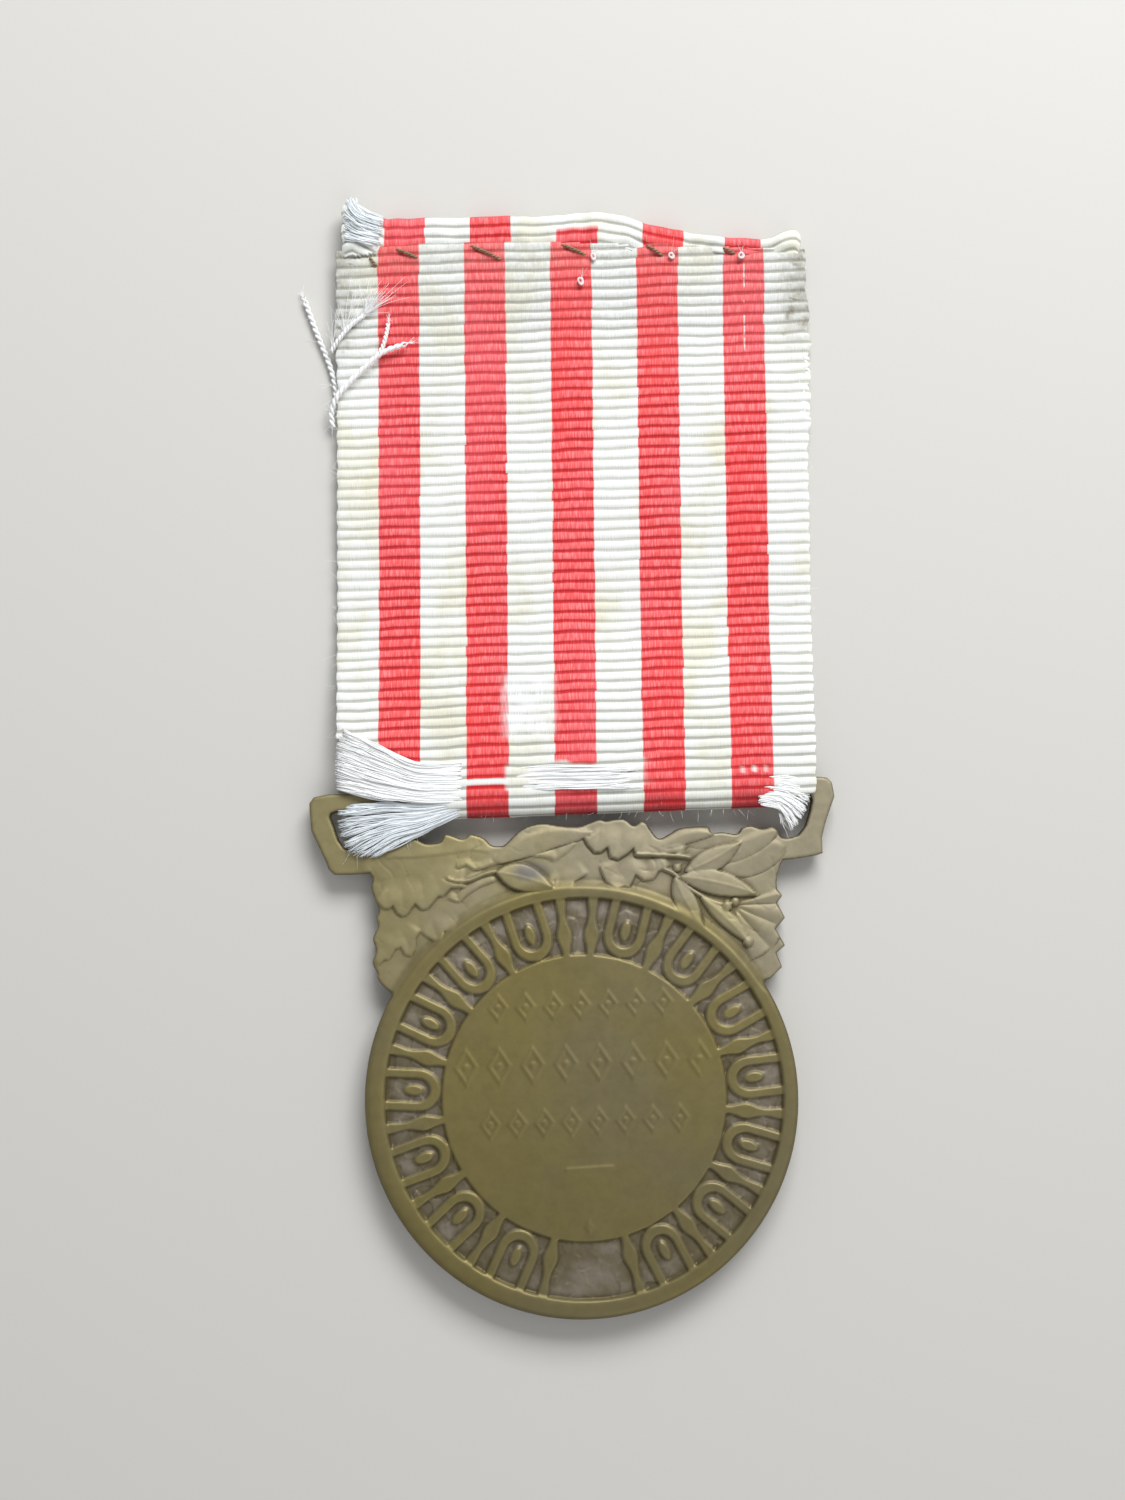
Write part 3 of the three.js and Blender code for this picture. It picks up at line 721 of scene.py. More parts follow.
def obverse_height(x, y, depth):
    """Height of the side below: rim, ring of short ticks, a faceted star, the wreath's other face."""
    radius, turn = np.hypot(x, y), np.degrees(np.arctan2(x, y))
    from_point = np.abs((turn + STAR_STEP / 2) % STAR_STEP - STAR_STEP / 2)
    inner = math.radians(STAR_STEP / 2)
    edge = STAR_R * math.sin(inner / 2) / np.sin(np.radians(from_point) + inner / 2)
    facet = np.clip(1.0 - radius / edge, 0.0, 1.0)
    star = smooth(0.0, 0.05, facet) * 0.06 + facet * 0.22
    across = (turn % TICK_STEP - TICK_STEP / 2) * math.tau * TICKS_R / 60.0
    room = (TICK_LONG / 2) ** 2 - across ** 2 - (radius - TICKS_R) ** 2
    tick = 0.5 * np.sqrt(np.clip(room, 0.0, 1.0))
    face = 0.38 - star - tick + 0.012 * waves(x, y, 31, size=2.0)
    rim = 0.14 * np.clip(np.abs(radius - RIM_MIDDLE_R) / 0.75, 0, 1) ** 2.2
    face = mix(face, rim, smooth(14.9, 15.2, radius))
    outer = mix(2 * MID_Z - wreath_relief(x, y), MID_Z - LOOP_HALF, frame_zone(x, y))
    joint = smooth(16.25, 16.75, radius) * smooth(JOINT_LOW, JOINT_HIGH, y)
    return mix(face, outer, joint) + edge_drop(depth, radius)


def cavity_of(points, z, reach):
    """How far each vertex stands above (or below) the mean height within reach cells of it."""
    cells = np.round((points - np.array(GRID_LOW)) / GRID_STEP).astype(int) + reach
    shape = cells.max(axis=0) + 2 * reach
    total, count = np.zeros(shape), np.zeros(shape)
    np.add.at(total, (cells[:, 0], cells[:, 1]), z)
    np.add.at(count, (cells[:, 0], cells[:, 1]), 1.0)
    for axis in (0, 1, 0, 1):
        total = sum(np.roll(total, step, axis) for step in range(-reach, reach + 1))
        count = sum(np.roll(count, step, axis) for step in range(-reach, reach + 1))
    return z - (total / np.maximum(count, 1e-9))[cells[:, 0], cells[:, 1]]


def bronze_material():
    n = Nodes("bronze_patina")
    place = n.position()
    cavity, crease, band, wreath, tarnish = (
        n.attribute(name) for name in ("cavity", "crease", "band", "wreath", "tarnish"))
    broad = n.noise(place, 75.0, 5.0)
    blotch = n.noise(place, 330.0, 5.0, 0.6)
    fine = n.noise(place, 1100.0, 6.0, 0.65)

    olive_body = n.blend(n.ramp(broad, 0.36, 0.64), srgb(132, 120, 72), srgb(128, 118, 84))
    pale_wreath = n.blend(n.ramp(broad, 0.4, 0.6), srgb(166, 155, 112), srgb(160, 151, 126))
    band_ground = n.blend(n.ramp(blotch, 0.35, 0.65), srgb(116, 106, 86), srgb(150, 141, 130))
    colour = n.blend(wreath, olive_body, pale_wreath)
    colour = n.layered(colour, [(n.times(tarnish, 0.7), 104, 104, 112)])
    colour = n.blend(n.times(band, 0.9), colour, band_ground)

    sides = n.node("ShaderNodeSeparateXYZ", {"Vector": place})
    # Painted shade: darker towards the wreath's left and towards the disc's foot
    shade_to_left = n.ramp(sides["X"], (ORIGIN[0] - 4.0) * MM, (ORIGIN[0] - 15.0) * MM, 0.0, 0.4)
    shade_to_foot = n.ramp(sides["Y"], (ORIGIN[1] + 8.0) * MM, (ORIGIN[1] - 15.0) * MM, 0.0, 0.3)
    colour = n.layered(colour, [
        (n.ramp(cavity, -0.01, -0.14, 0.0, 0.6), 74, 62, 34),       # dirt in the hollows
        (n.ramp(crease, -0.008, -0.04, 0.0, 0.42), 78, 68, 46),     # painted shade in the finest grooves
        (n.ramp(cavity, 0.03, 0.2, 0.0, 0.35), 158, 148, 108),      # bare metal on the crests
        (n.ramp(fine, 0.35, 0.7, 0.0, 0.18), 84, 74, 46),           # specks
        (n.times(shade_to_left, wreath), 112, 102, 70),                   # painted shade: browner and darker at the wreath's left
        (shade_to_foot, 84, 76, 46),                                      # and painted shade: darker at the disc's foot
    ])
    rough = n.math("ADD", n.ramp(blotch, 0.3, 0.7, 0.45, 0.55), n.times(band, 0.05))
    grain = n.math("MULTIPLY_ADD", blotch, 0.6, n.times(fine, 0.4))
    n.surface({"Base Color": colour, "Metallic": 0.6,
               "Roughness": n.math("MULTIPLY_ADD", wreath, 0.1, rough),
               "Normal": n.bump(grain, 0.00003, 0.5)})
    return n.material


def make_medal():
    xy, depth, faces = OutlineGrid([outer_outline(), slot_outline()]).fitted()
    x, y = xy[:, 0], xy[:, 1]
    top, bottom = reverse_height(x, y, depth), obverse_height(x, y, depth)
    medal = new_object("medal_relief", *solid_between(np.column_stack([xy, top]),
                                                      np.column_stack([xy, bottom]), faces))
    radius = np.hypot(x - OFF_CENTRE[0], y - OFF_CENTRE[1])
    band = smooth(FIELD_R, FIELD_R + 0.2, radius) * (1 - smooth(RIM_IN_R - 0.2, RIM_IN_R, radius))
    band = band * (1 - smooth(BAND_FLOOR + 0.06, BAND_FLOOR + 0.18, top))
    wreath = smooth(16.0, 17.0, radius) * smooth(JOINT_LOW, JOINT_HIGH, y)
    tarnish = smooth(1.5, 0.5, np.hypot((x + 3.2) * 0.8, (y - 17.5) * 1.6)) * wreath
    for name, above, below in (("cavity", cavity_of(xy, top, 4), -cavity_of(xy, bottom, 4)),
                               ("crease", cavity_of(xy, top, 1), -cavity_of(xy, bottom, 1)),
                               ("band", band, band * 0.0), ("wreath", wreath, wreath),
                               ("tarnish", tarnish, tarnish * 0.0)):
        add_attribute(medal, name, np.concatenate([above, below]))
    medal.data.materials.append(bronze_material())
    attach(medal, "medal")
    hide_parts("medal_body")


make_medal()

# ------------------------------------------------------------------ ribbon: route of the strip

# u is a place across the ribbon from its middle, s a distance along the strip from its front end,
# and along a distance from the bar towards the hem, on either layer.

RIBBON_WIDE = 36.8
RIB_PITCH = 0.8
STRIPE_PITCH = 6.8
STRIPE_HALF = 1.62
LAYER = 0.36                    # thickness of one layer over its ribs
FOLD_NOSE = 1.42                # middle of the strip from the bar's axis, on the disc's side
FOLD_HIGH = 1.07                # and above and below it
TOP_FOLD = 45.8                 # distance from the bar to the fold at the top
HEM_START = 41.6                # the front layer ends here, under the folded top
HEM_LIFT = 0.36
RIBBON_OFFSET = 0.48            # the ribbon's middle from the disc's, at the bar
RIBBON_LEAN = 0.029             # and how much further right it is for each mm up
HEM_SHIFT = 0.5                 # the folded top lies this much to the right
STEPS_PER_RIB = 6


def lower_middle(along):
    return LAYER / 2 + HEM_LIFT * smooth(36.0, 41.5, along)


def front_middle(along):
    droop = mix(MID_Z + FOLD_HIGH, LAYER * 1.5 + 0.1, smooth(0.0, 15.0, along))
    return droop + HEM_LIFT * smooth(36.0, 41.5, along)


def strip_route():
    """Middle of the strip in side view, from the front's top end round the bar to the hem tab."""
    front = [(a, front_middle(a)) for a in np.linspace(HEM_START + 2.2, 0.0, 90)]
    fold = [(-FOLD_NOSE * math.sin(t), MID_Z + FOLD_HIGH * math.cos(t))
            for t in np.linspace(0.0, math.pi, 40)[1:]]
    lower = [(a, lower_middle(a)) for a in np.linspace(0.0, TOP_FOLD, 90)[1:]]
    turn_r = LAYER * 1.02
    turn_z = lower_middle(TOP_FOLD) + turn_r
    turn = [(TOP_FOLD + turn_r * 0.9 * math.sin(t), turn_z - turn_r * math.cos(t))
            for t in np.linspace(0.0, math.pi, 16)[1:]]
    tab = [(a, turn_z + turn_r) for a in np.linspace(TOP_FOLD, TOP_FOLD - 5.2, 12)[1:]]
    route = np.array(front + fold + lower + turn + tab)
    run = run_along(route)
    ends = run[np.cumsum([len(part) for part in (front, fold, lower, turn, tab)]) - 1]
    marks = {"front_end": ends[0], "fold": (ends[0] + ends[1]) / 2,
             "top": ends[2], "tab": ends[3], "end": ends[4]}
    count = int(run[-1] / RIB_PITCH * STEPS_PER_RIB)
    steps = np.arange(count + 1) * RIB_PITCH / STEPS_PER_RIB
    route = at_distances(route, run, steps)
    ways = unit(np.gradient(route, axis=0))
    return steps, route, np.column_stack([ways[:, 1], -ways[:, 0]]), marks


# Top edge of the ribbon and edge of the folded tab: (across the ribbon, distance from the bar)
TOP_EDGE = [
    (-18.4, 47.3), (-17.75, 47.6), (-16.65, 47.0), (-15.05, 46.1), (-11.6, 46.1), (-8.0, 46.0),
    (-4.8, 45.95), (-1.1, 45.95), (1.9, 46.1), (3.9, 45.7), (5.5, 44.9), (8.8, 44.15),
    (12.4, 43.6), (15.3, 43.35), (16.3, 43.55), (17.2, 43.9), (17.8, 44.05), (18.1, 44.0),
    (18.4, 43.75),
]
TAB_EDGE = [
    (-18.4, 43.0), (-15.3, 43.2), (-8.3, 43.4), (-4.4, 43.25), (-1.2, 43.05), (2.0, 42.85),
    (6.0, 42.7), (10.2, 42.4), (13.4, 42.1), (18.4, 41.8),
]


def across_profile(table, u):
    xs, values = zip(*table)
    return np.interp(u, xs, values)


def ribbon_columns():
    """Places across the ribbon, closer together at the selvages."""
    count = 120
    inner = np.linspace(-RIBBON_WIDE / 2 + 0.45, RIBBON_WIDE / 2 - 0.45, count)
    edge = RIBBON_WIDE / 2 - np.array([0.0, 0.05, 0.14, 0.27])
    return np.concatenate([-edge, inner, edge[::-1]])


def ribbon_side(along):
    """Where the ribbon's middle is, from the disc's centre, at a distance from the bar."""
    return RIBBON_OFFSET + RIBBON_LEAN * np.clip(along, -2, 60)


def rib_wander(u, s, fold):
    """How far the ribs stray along the ribbon from where an even weave has them."""
    stray = 0.07 * waves(u * 0.35, s * 1.6, 41, size=6.0) + 0.06 * waves(u, s, 42, size=11.0)
    stray = stray + 0.035 * np.cos(math.tau * u / STRIPE_PITCH) + 0.03 * waves(u, s, 49, size=2.6)
    return stray * (1 - 0.8 * np.exp(-((s - fold) / 2.5) ** 2))


def cloth_lift(u, s, along, on_front, marks):
    """How far the cloth lies above the strip's route: slack, puckers, corners, the tucked tab."""
    slack = 0.15 * (1 + waves(u, s, 43, octaves=2, size=19.0)) * smooth(2.0, 9.0, along) * on_front
    pucker = 0.15 * waves(u, s * 0.4, 44, octaves=3, size=3.6)
    pucker = np.maximum(pucker * smooth(marks["top"] - 1.0, marks["top"], s), -0.08)
    corners = smooth(-14.6, -17.0, u) + 0.6 * smooth(15.6, 17.6, u)
    corners = corners * smooth(marks["top"] - 1.5, marks["top"], s)
    past_edge = along - across_profile(TAB_EDGE, u)
    tucked = 0.26 * (1 - smooth(0.0, 1.0, past_edge)) * (s > marks["tab"])
    return slack + 1.2 * pucker + 0.4 * corners - tucked


WEB_HALF = 0.07                 # half the cloth's thickness in the grooves
RIB_RISE = 0.125                # and how much more it is on a rib


def rib_profile(u, s, chalk, from_edge):
    """Rounded cords with narrow grooves: 0 to 1 from groove to crest, and half the thickness."""
    phase = s / RIB_PITCH
    rib = np.abs(np.sin(np.pi * phase)) ** 0.62
    strength = np.random.default_rng(7).uniform(0.8, 1.12, int(phase.max()) + 2)
    half = WEB_HALF + RIB_RISE * mix(rib, 0.85, 0.6 * chalk) * strength[np.floor(phase).astype(int)]
    half = half * (1 + 0.12 * waves(u, s, 45, size=2.5))
    rounding = 1 - np.clip(from_edge / 0.4, 0.06, 1)
    return rib, half * np.sqrt(np.clip(1 - rounding ** 2, 0.02, 1))


def selvage(u, s, along, on_front, from_edge):
    """How far out the edges stand: a weft loop at each second rib, and dirt at the hem's corners."""
    loops = 0.14 * np.abs(np.sin(np.pi * s / RIB_PITCH / 2 + 0.4)) ** 0.6
    loops = loops + 0.06 * waves(s, s * 0, 46, size=5.0)
    swell = 0.35 * np.exp(-((along - 37.3) / 0.9) ** 2) + 0.2 * np.exp(-((along - 35.0) / 0.5) ** 2)
    slack = np.abs(np.sin(along * 2.6 + 1.2 * waves(along, s * 0, 47, size=6.0))) ** 0.7
    slack = slack * smooth(26.0, 29.0, along) * (1 - smooth(35.0, 36.5, along)) * (u > 0)
    loops = loops + (swell + 0.3 * slack) * on_front * np.where(u > 0, 1.0, 0.5)
    return np.sign(u) * smooth(0.8, 0.0, from_edge) * loops


def ribbon_surface():
    """Both faces of the cloth as grids of points, and what the cloth is like at each of them."""
    steps, route, normals, marks = strip_route()
    columns = ribbon_columns()
    u, s = np.meshgrid(columns, steps)
    along, z, normal_y, normal_z = (np.repeat(values[:, None], len(columns), axis=1)
                                    for values in (*route.T, *normals.T))
    on_front = 1 - smooth(marks["front_end"], marks["front_end"] + 0.5, s)
    near_top = smooth(marks["top"] - 6.0, marks["top"], s)
    along = along + (across_profile(TOP_EDGE, u) - TOP_FOLD - LAYER * 1.4) * near_top
    along = along + rib_wander(u, s, marks["fold"]) * (1 - 0.6 * near_top)
    z = z + cloth_lift(u, s, along, on_front, marks)

    chalk = smooth(2.4, 1.5, np.abs(u + 3.6)) * smooth(4.0, 5.2, along) * (1 - smooth(8.6, 10.0, along))
    chalk = chalk * on_front * (0.6 + 0.4 * waves(u, along, 48, size=2.0))
    from_edge = RIBBON_WIDE / 2 - np.abs(u)
    rib, half = rib_profile(u, s, chalk, from_edge)

    shift = HEM_SHIFT * smooth(marks["fold"], marks["top"], s) * (1 - 1.8 * smooth(8.0, 18.0, u))
    x = u + selvage(u, s, along, on_front, from_edge) + ribbon_side(along) + shift
    y = along + BAR_Y
    upper = np.stack([x, y + normal_y * half, z + normal_z * half], axis=-1)
    lower = np.stack([x, y - normal_y * half, z - normal_z * half], axis=-1)
    return {"u": u, "s": s, "along": along, "rib": rib, "chalk": chalk,
            "upper": upper, "lower": lower, "marks": marks}


# Edge of the worn-away cloth at the left of the fold: (across the ribbon, distance from the bar)
TORN_EDGE = [(-18.5, 5.0), (-15.2, 4.1), (-12.3, 2.7), (-10.2, 2.4)]
TORN_TO = -10.2


def kept_cells(cloth):
    """Which cells of the ribbon's net are there: not the torn corner, nor past the tab's edge."""
    u, s, along = ((cloth[name][:-1, :-1] + cloth[name][1:, 1:]) / 2 for name in ("u", "s", "along"))
    marks = cloth["marks"]
    torn_edge = across_profile(TORN_EDGE, u) + 0.2 * waves(u, u * 0, 51, size=1.4)
    torn = (u < TORN_TO) & (along < np.where(s < marks["fold"], torn_edge, 0.6))
    right_torn = (u > 16.4) & (np.abs(s - marks["fold"]) < 1.3)
    past_tab = (s > marks["tab"]) & (along < across_profile(TAB_EDGE, u))
    past_front = (s < marks["fold"]) & (along > across_profile(TAB_EDGE, u) + 0.5)
    return ~(torn | right_torn | past_tab | past_front)


def make_ribbon(cloth):
    u, s, marks = cloth["u"], cloth["s"], cloth["marks"]
    number = np.arange(u.size).reshape(u.shape)
    corners = cell_corners(number)[kept_cells(cloth)][:, [0, 3, 2, 1]]
    points, faces = solid_between(cloth["upper"].reshape(-1, 3), cloth["lower"].reshape(-1, 3),
                                  [tuple(face) for face in corners.tolist()])
    used, faces = only_used(faces, len(points))
    ribbon = new_object("grosgrain_ribbon", points[used], faces)
    for name, values in (("across", u), ("run", s), ("rib", cloth["rib"]), ("chalk", cloth["chalk"]),
                         ("wear", wear_amount(cloth)), ("dirt", dirt_amount(cloth)),
                         ("fold", np.exp(-((s - marks["fold"]) / 1.9) ** 2))):
        add_attribute(ribbon, name, np.tile(values.ravel(), 2)[used])
    ribbon.data.materials.append(ribbon_material())
    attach(ribbon, "ribbon")
    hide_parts("ribbon_strip")


def wear_amount(cloth):
    """1 where the red warp has worn off and the white weft shows."""
    u, s, along, marks = (cloth[name] for name in ("u", "s", "along", "marks"))
    wobble = 0.35 * waves(u * 0.6, along, 61, size=3.0)
    band = smooth(0.3, 0.6, along + wobble * 0.5) * (1 - smooth(2.2, 2.6, along + wobble))
    reach = smooth(-5.6, -5.2, u) * (1 - smooth(4.4, 5.8, u + wobble * 2.0))
    line = (np.abs(along - 1.15) < 0.22) * (u > -9.0) * (u < -5.0)
    dashes = (np.abs(along - 1.35) < 0.22) * (np.sin(u * 7.0) > -0.2) * (u > 12) * (u < 15.2)
    dashes = dashes * (0.75 + 0.25 * np.sin(u * 2.9))
    front = np.where(s < marks["fold"], np.clip(band * reach + line + dashes, 0, 1), 0.0)
    bare_top = smooth(marks["top"] - 0.6, marks["top"] - 0.2, s) * (np.abs(u + 0.3) < 2.6)
    return np.maximum(front, bare_top * (1 - smooth(0.7, 1.1, s - marks["tab"])))


def dirt_amount(cloth):
    """Brownish-grey residue at the hem's corners, with a faint line along the seam."""
    u, along = cloth["u"], cloth["along"]
    front = (cloth["s"] < cloth["marks"]["fold"]) * 1.0
    right = np.exp(-((u - 18.0) / 1.3) ** 2) * smooth(33.5, 37.5, along)
    left = 0.75 * np.exp(-((u + 18.3) / 1.2) ** 2) * smooth(33.5, 38.0, along)
    seam = 0.3 * smooth(41.0, 42.0, along)
    patches = 0.5 + 0.5 * waves(u, along, 62, size=1.6)
    grit = smooth(0.35, 0.75, waves(u, along, 64, size=0.9)) * smooth(34.0, 36.0, along)
    grit = 0.9 * grit * np.exp(-((np.abs(u) - 17.4) / 0.8) ** 2) * np.where(u > 0, 1.0, 0.6)
    stain = (right + left) * (0.2 + 0.7 * patches) + seam * patches + grit
    return np.clip(stain * front, 0, 1)


def red_stripes(n, across, run, wear):
    """1 on the five red stripes, whose sides shift by a yarn or so from rib to rib."""
    per_rib = n.node("ShaderNodeCombineXYZ", {
        "X": n.times(across, 0.7), "Y": n.math("FLOOR", n.math("DIVIDE", run, RIB_PITCH))})["Vector"]
    jitter = n.math("SUBTRACT", n.noise(per_rib, 1.3, 2.0), 0.5)
    turns = n.math("DIVIDE", n.math("ADD", across, n.times(jitter, 0.36)), STRIPE_PITCH)
    nearest = n.math("ROUND", turns)
    offset = n.math("ABSOLUTE", n.times(n.math("SUBTRACT", turns, nearest), STRIPE_PITCH))
    in_stripe = n.ramp(offset, STRIPE_HALF + 0.05, STRIPE_HALF - 0.05)
    in_range = n.math("LESS_THAN", n.math("ABSOLUTE", nearest), 2.5)
    return n.times(in_stripe, in_range, n.math("SUBTRACT", 1.0, wear))


def pulled_yarn(n, weave, across, run, specks):
    """1 on the broken line of one pulled white yarn in the rightmost stripe, near the hem."""
    line = n.math("MULTIPLY_ADD", specks, 0.1, 13.6)
    away = n.math("ABSOLUTE", n.math("SUBTRACT", across, line))
    gaps = n.ramp(n.noise(n.scaled(weave, (0.1, 1.3, 1.0)), 1.0, 2.0), 0.42, 0.5)
    return n.times(n.ramp(away, 0.08, 0.03, 0.0, 0.75), n.ramp(run, 2.2, 2.8), n.ramp(run, 9.6, 9.0),
                   gaps)


def ribbon_material():
    n = Nodes("striped_grosgrain")
    across, run, rib, wear, dirt, fold, chalk = (
        n.attribute(name) for name in ("across", "run", "rib", "wear", "dirt", "fold", "chalk"))
    weave = n.node("ShaderNodeCombineXYZ", {"X": across, "Y": run})["Vector"]
    yarns = n.noise(n.scaled(weave, (9.0, 0.9, 1.0)), 1.0, 3.0, 0.6)    # fine lines along the strip
    stains = n.noise(n.scaled(weave, (1.0, 0.6, 1.0)), 0.16, 5.0, 0.6)
    specks = n.noise(n.scaled(weave, (3.0, 1.6, 1.0)), 1.4, 3.0, 0.6)
    faded = n.noise(n.scaled(weave, (1.0, 0.35, 1.0)), 0.11, 3.0)
    red = red_stripes(n, across, run, wear)

    # Painted shade: the white's grooves get a greyer colour than its crests, deeper still near both
    # ends of the front
    groove_shade_near_ends = n.math("ADD", n.ramp(run, 26.0, 42.0), n.ramp(run, 16.0, 3.0))
    white_top = n.blend(n.ramp(stains, 0.46, 0.66), srgb(238, 240, 236), srgb(228, 225, 206))
    white_groove_shade = n.blend(n.ramp(stains, 0.42, 0.66), srgb(206, 208, 201), srgb(192, 188, 166))
    white_groove_shade = n.layered(white_groove_shade, [(n.times(groove_shade_near_ends, 0.8), 170, 171, 160)])
    white = n.blend(n.ramp(rib, 0.35, 0.8), white_groove_shade, white_top)

    # Painted sheen: the red's crests are pink, and painted shade: its grooves a deeper red
    red_crest_sheen = n.blend(n.ramp(yarns, 0.4, 0.68), srgb(242, 80, 82), srgb(254, 136, 138))
    red_groove_shade = n.blend(n.ramp(yarns, 0.35, 0.65), srgb(176, 12, 22), srgb(208, 32, 40))
    red_yarn = n.layered(n.blend(n.ramp(rib, 0.45, 0.85), red_groove_shade, red_crest_sheen), [
        (n.times(fold, 0.75), 150, 24, 34),                         # darker round the bar
        (n.ramp(faded, 0.48, 0.64, 0.0, 0.22), 232, 104, 116),      # faded here
        (n.ramp(faded, 0.5, 0.36, 0.0, 0.3), 240, 36, 34),          # and fresh there
        (n.ramp(specks, 0.66, 0.78, 0.0, 0.4), 240, 190, 186),      # lint
    ])

    unpulled = n.math("SUBTRACT", 1.0, pulled_yarn(n, weave, across, run, specks))
    # Greyer in patches towards the hem end of the front, less on the red stripes
    greyer_near_hem = n.times(n.ramp(run, 14.0, 3.0), n.ramp(specks, 0.3, 0.6, 0.05, 0.24),
                    n.math("MULTIPLY_ADD", red, -0.55, 1.0))
    grime = n.blend(n.ramp(specks, 0.4, 0.6), srgb(146, 136, 112), srgb(112, 108, 100))
    colour = n.layered(n.blend(n.times(red, unpulled), white, red_yarn), [
        (n.ramp(yarns, 0.25, 0.5, 0.1, 0.0), 130, 124, 110),        # shade between yarns
        (greyer_near_hem, 150, 152, 150),
        (n.times(chalk, n.ramp(yarns, 0.3, 0.6, 0.5, 1.0)), 240, 242, 242),
    ])
    n.surface({"Base Color": n.blend(n.times(dirt, 0.85), colour, grime),
               "Roughness": n.ramp(yarns, 0.2, 0.8, 0.72, 0.5),
               "Sheen Weight": 0.2, "Sheen Roughness": 0.4, "Specular IOR Level": 0.35,
               "Normal": n.bump(yarns, 0.00005, 0.8)})
    return n.material


# ------------------------------------------------------------------ threads and frayed ends

class HeightMap:
    """The highest point of the ribbon's upper face near a place, in cells of CELL mm."""

    CELL = 0.25

    def __init__(self, points):
        self.low = points[:, :2].min(axis=0) - 1.0
        size = ((points[:, :2].max(axis=0) + 1.0 - self.low) / self.CELL).astype(int) + 2
        self.high = np.full(size, -1.0)
        cell = ((points[:, :2] - self.low) / self.CELL).astype(int)
        np.maximum.at(self.high, (cell[:, 0], cell[:, 1]), points[:, 2])
        for axis in (0, 1):
            self.high = np.maximum(self.high, np.maximum(np.roll(self.high, 1, axis),
                                                         np.roll(self.high, -1, axis)))

    def at(self, x, y):
        cell = ((np.array([x, y]) - self.low) / self.CELL).astype(int)
        i, j = np.clip(cell, 0, np.array(self.high.shape) - 1)
        return float(self.high[i, j])


THREAD_LEAN = math.radians(2.2)  # of the line up the ribbon from which threads are placed


def on_ribbon(across, along):
    """A place measured across the ribbon and from the bar, about the disc's centre."""
    return across + math.tan(THREAD_LEAN) * along + 0.1, along + BAR_Y


def thread_material(name, low, high):
    """Spun fibre: tones vary from strand to strand and along each."""
    n = Nodes(name)
    grain = n.noise(n.position(), 2600.0, 4.0, 0.6)
    amount = n.math("MULTIPLY_ADD", grain, 0.5, n.times(n.attribute("tone"), 0.5))
    n.surface({"Base Color": n.blend(amount, low, high),
               "Roughness": n.ramp(grain, 0.3, 0.7, 0.42, 0.6),
               "Sheen Weight": 0.2, "Sheen Roughness": 0.35,
               "Normal": n.bump(grain, 0.00002, 0.6)})
    return n.material


WHITE_SILK = thread_material("white_silk", srgb(240, 241, 240), srgb(252, 253, 253))
# A cooler, darker copy of the white silk: painted shade
SHADED_SILK = thread_material("shaded_silk", srgb(206, 214, 219), srgb(243, 247, 249))
CLEAR_THREAD = thread_material("clear_thread", srgb(214, 190, 190), srgb(246, 236, 236))
BROWN_SILK = thread_material("brown_silk", srgb(92, 66, 42), srgb(184, 154, 118))


def new_threads(name, tubes, material, replaced=()):
    """One piece made of (path, radii, sides) tubes, each with its own tone."""
    parts, tones = [], []
    rng = np.random.default_rng(len(tubes) * 13 + len(name))
    for path, radii, sides in tubes:
        points, faces = sweep(path, radii, sides)
        parts.append((points, faces))
        tones.append(np.full(len(points), rng.uniform(0.0, 1.0)))
    points, faces = bundle(parts)
    obj = new_object(name, points, faces)
    add_attribute(obj, "tone", np.concatenate(tones))
    obj.data.materials.append(material)
    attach(obj, "ribbon")
    if replaced:
        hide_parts(*replaced)


def twisted(path, radius, turn_every=0.55, frayed=False):
    """Tubes of a two-ply thread along a path. A frayed end opens out and thins."""
    run = run_along(path)
    share = run / run[-1]
    tangent = unit(np.gradient(path, axis=0))
    side = unit(np.cross(tangent, [0.05, 0.1, 1.0]))
    up = np.cross(side, tangent)
    opened = 1 + 0.5 * frayed * smooth(0.9, 1.0, share)
    thinned = 1 - 0.6 * frayed * smooth(0.92, 1.0, share)
    tubes = []
    for ply in (0, 1):
        turn = (run / turn_every * math.tau + ply * math.pi)[:, None]
        offset = radius * 0.48 * opened[:, None] * (np.cos(turn) * side + np.sin(turn) * up)
        tubes.append((path + offset, radius * 0.56 * thinned, 6))
    return tubes


def fibres(start, ahead, count, length, spread, rng, radius=0.018):
    """Fine hairs that leave a point, roughly along a direction."""
    tubes = []
    ahead = unit(np.asarray(ahead, float))
    for _ in range(count):
        way = ahead + rng.normal(0, spread, 3) * [1, 1, 0.5]
        bend = rng.normal(0, spread * 0.8, 3) * [1, 1, 0.3]
        reach = length * rng.uniform(0.4, 1.0)
        t = np.linspace(0, 1, 8)[:, None]
        path = start + reach * (way * t + bend * t ** 2)
        path[:, 2] = np.maximum(path[:, 2], 0.05)
        tubes.append((path, radius * (1 - 0.5 * t[:, 0]), 5))
    return tubes


# Where the sewing thread goes through the hem, as (across, along) pairs: down-stitch, up-stitch
SEWING_HOLES = [
    ((-15.9, 42.9), (-15.3, 42.1)), ((-13.9, 43.5), (-11.9, 42.6)), ((-8.1, 43.6), (-5.4, 42.3)),
    ((-0.9, 43.4), (1.3, 42.4)), ((5.9, 43.1), (7.3, 42.1)), ((12.0, 42.6), (13.0, 42.1)),
]
SEWING_R = 0.13


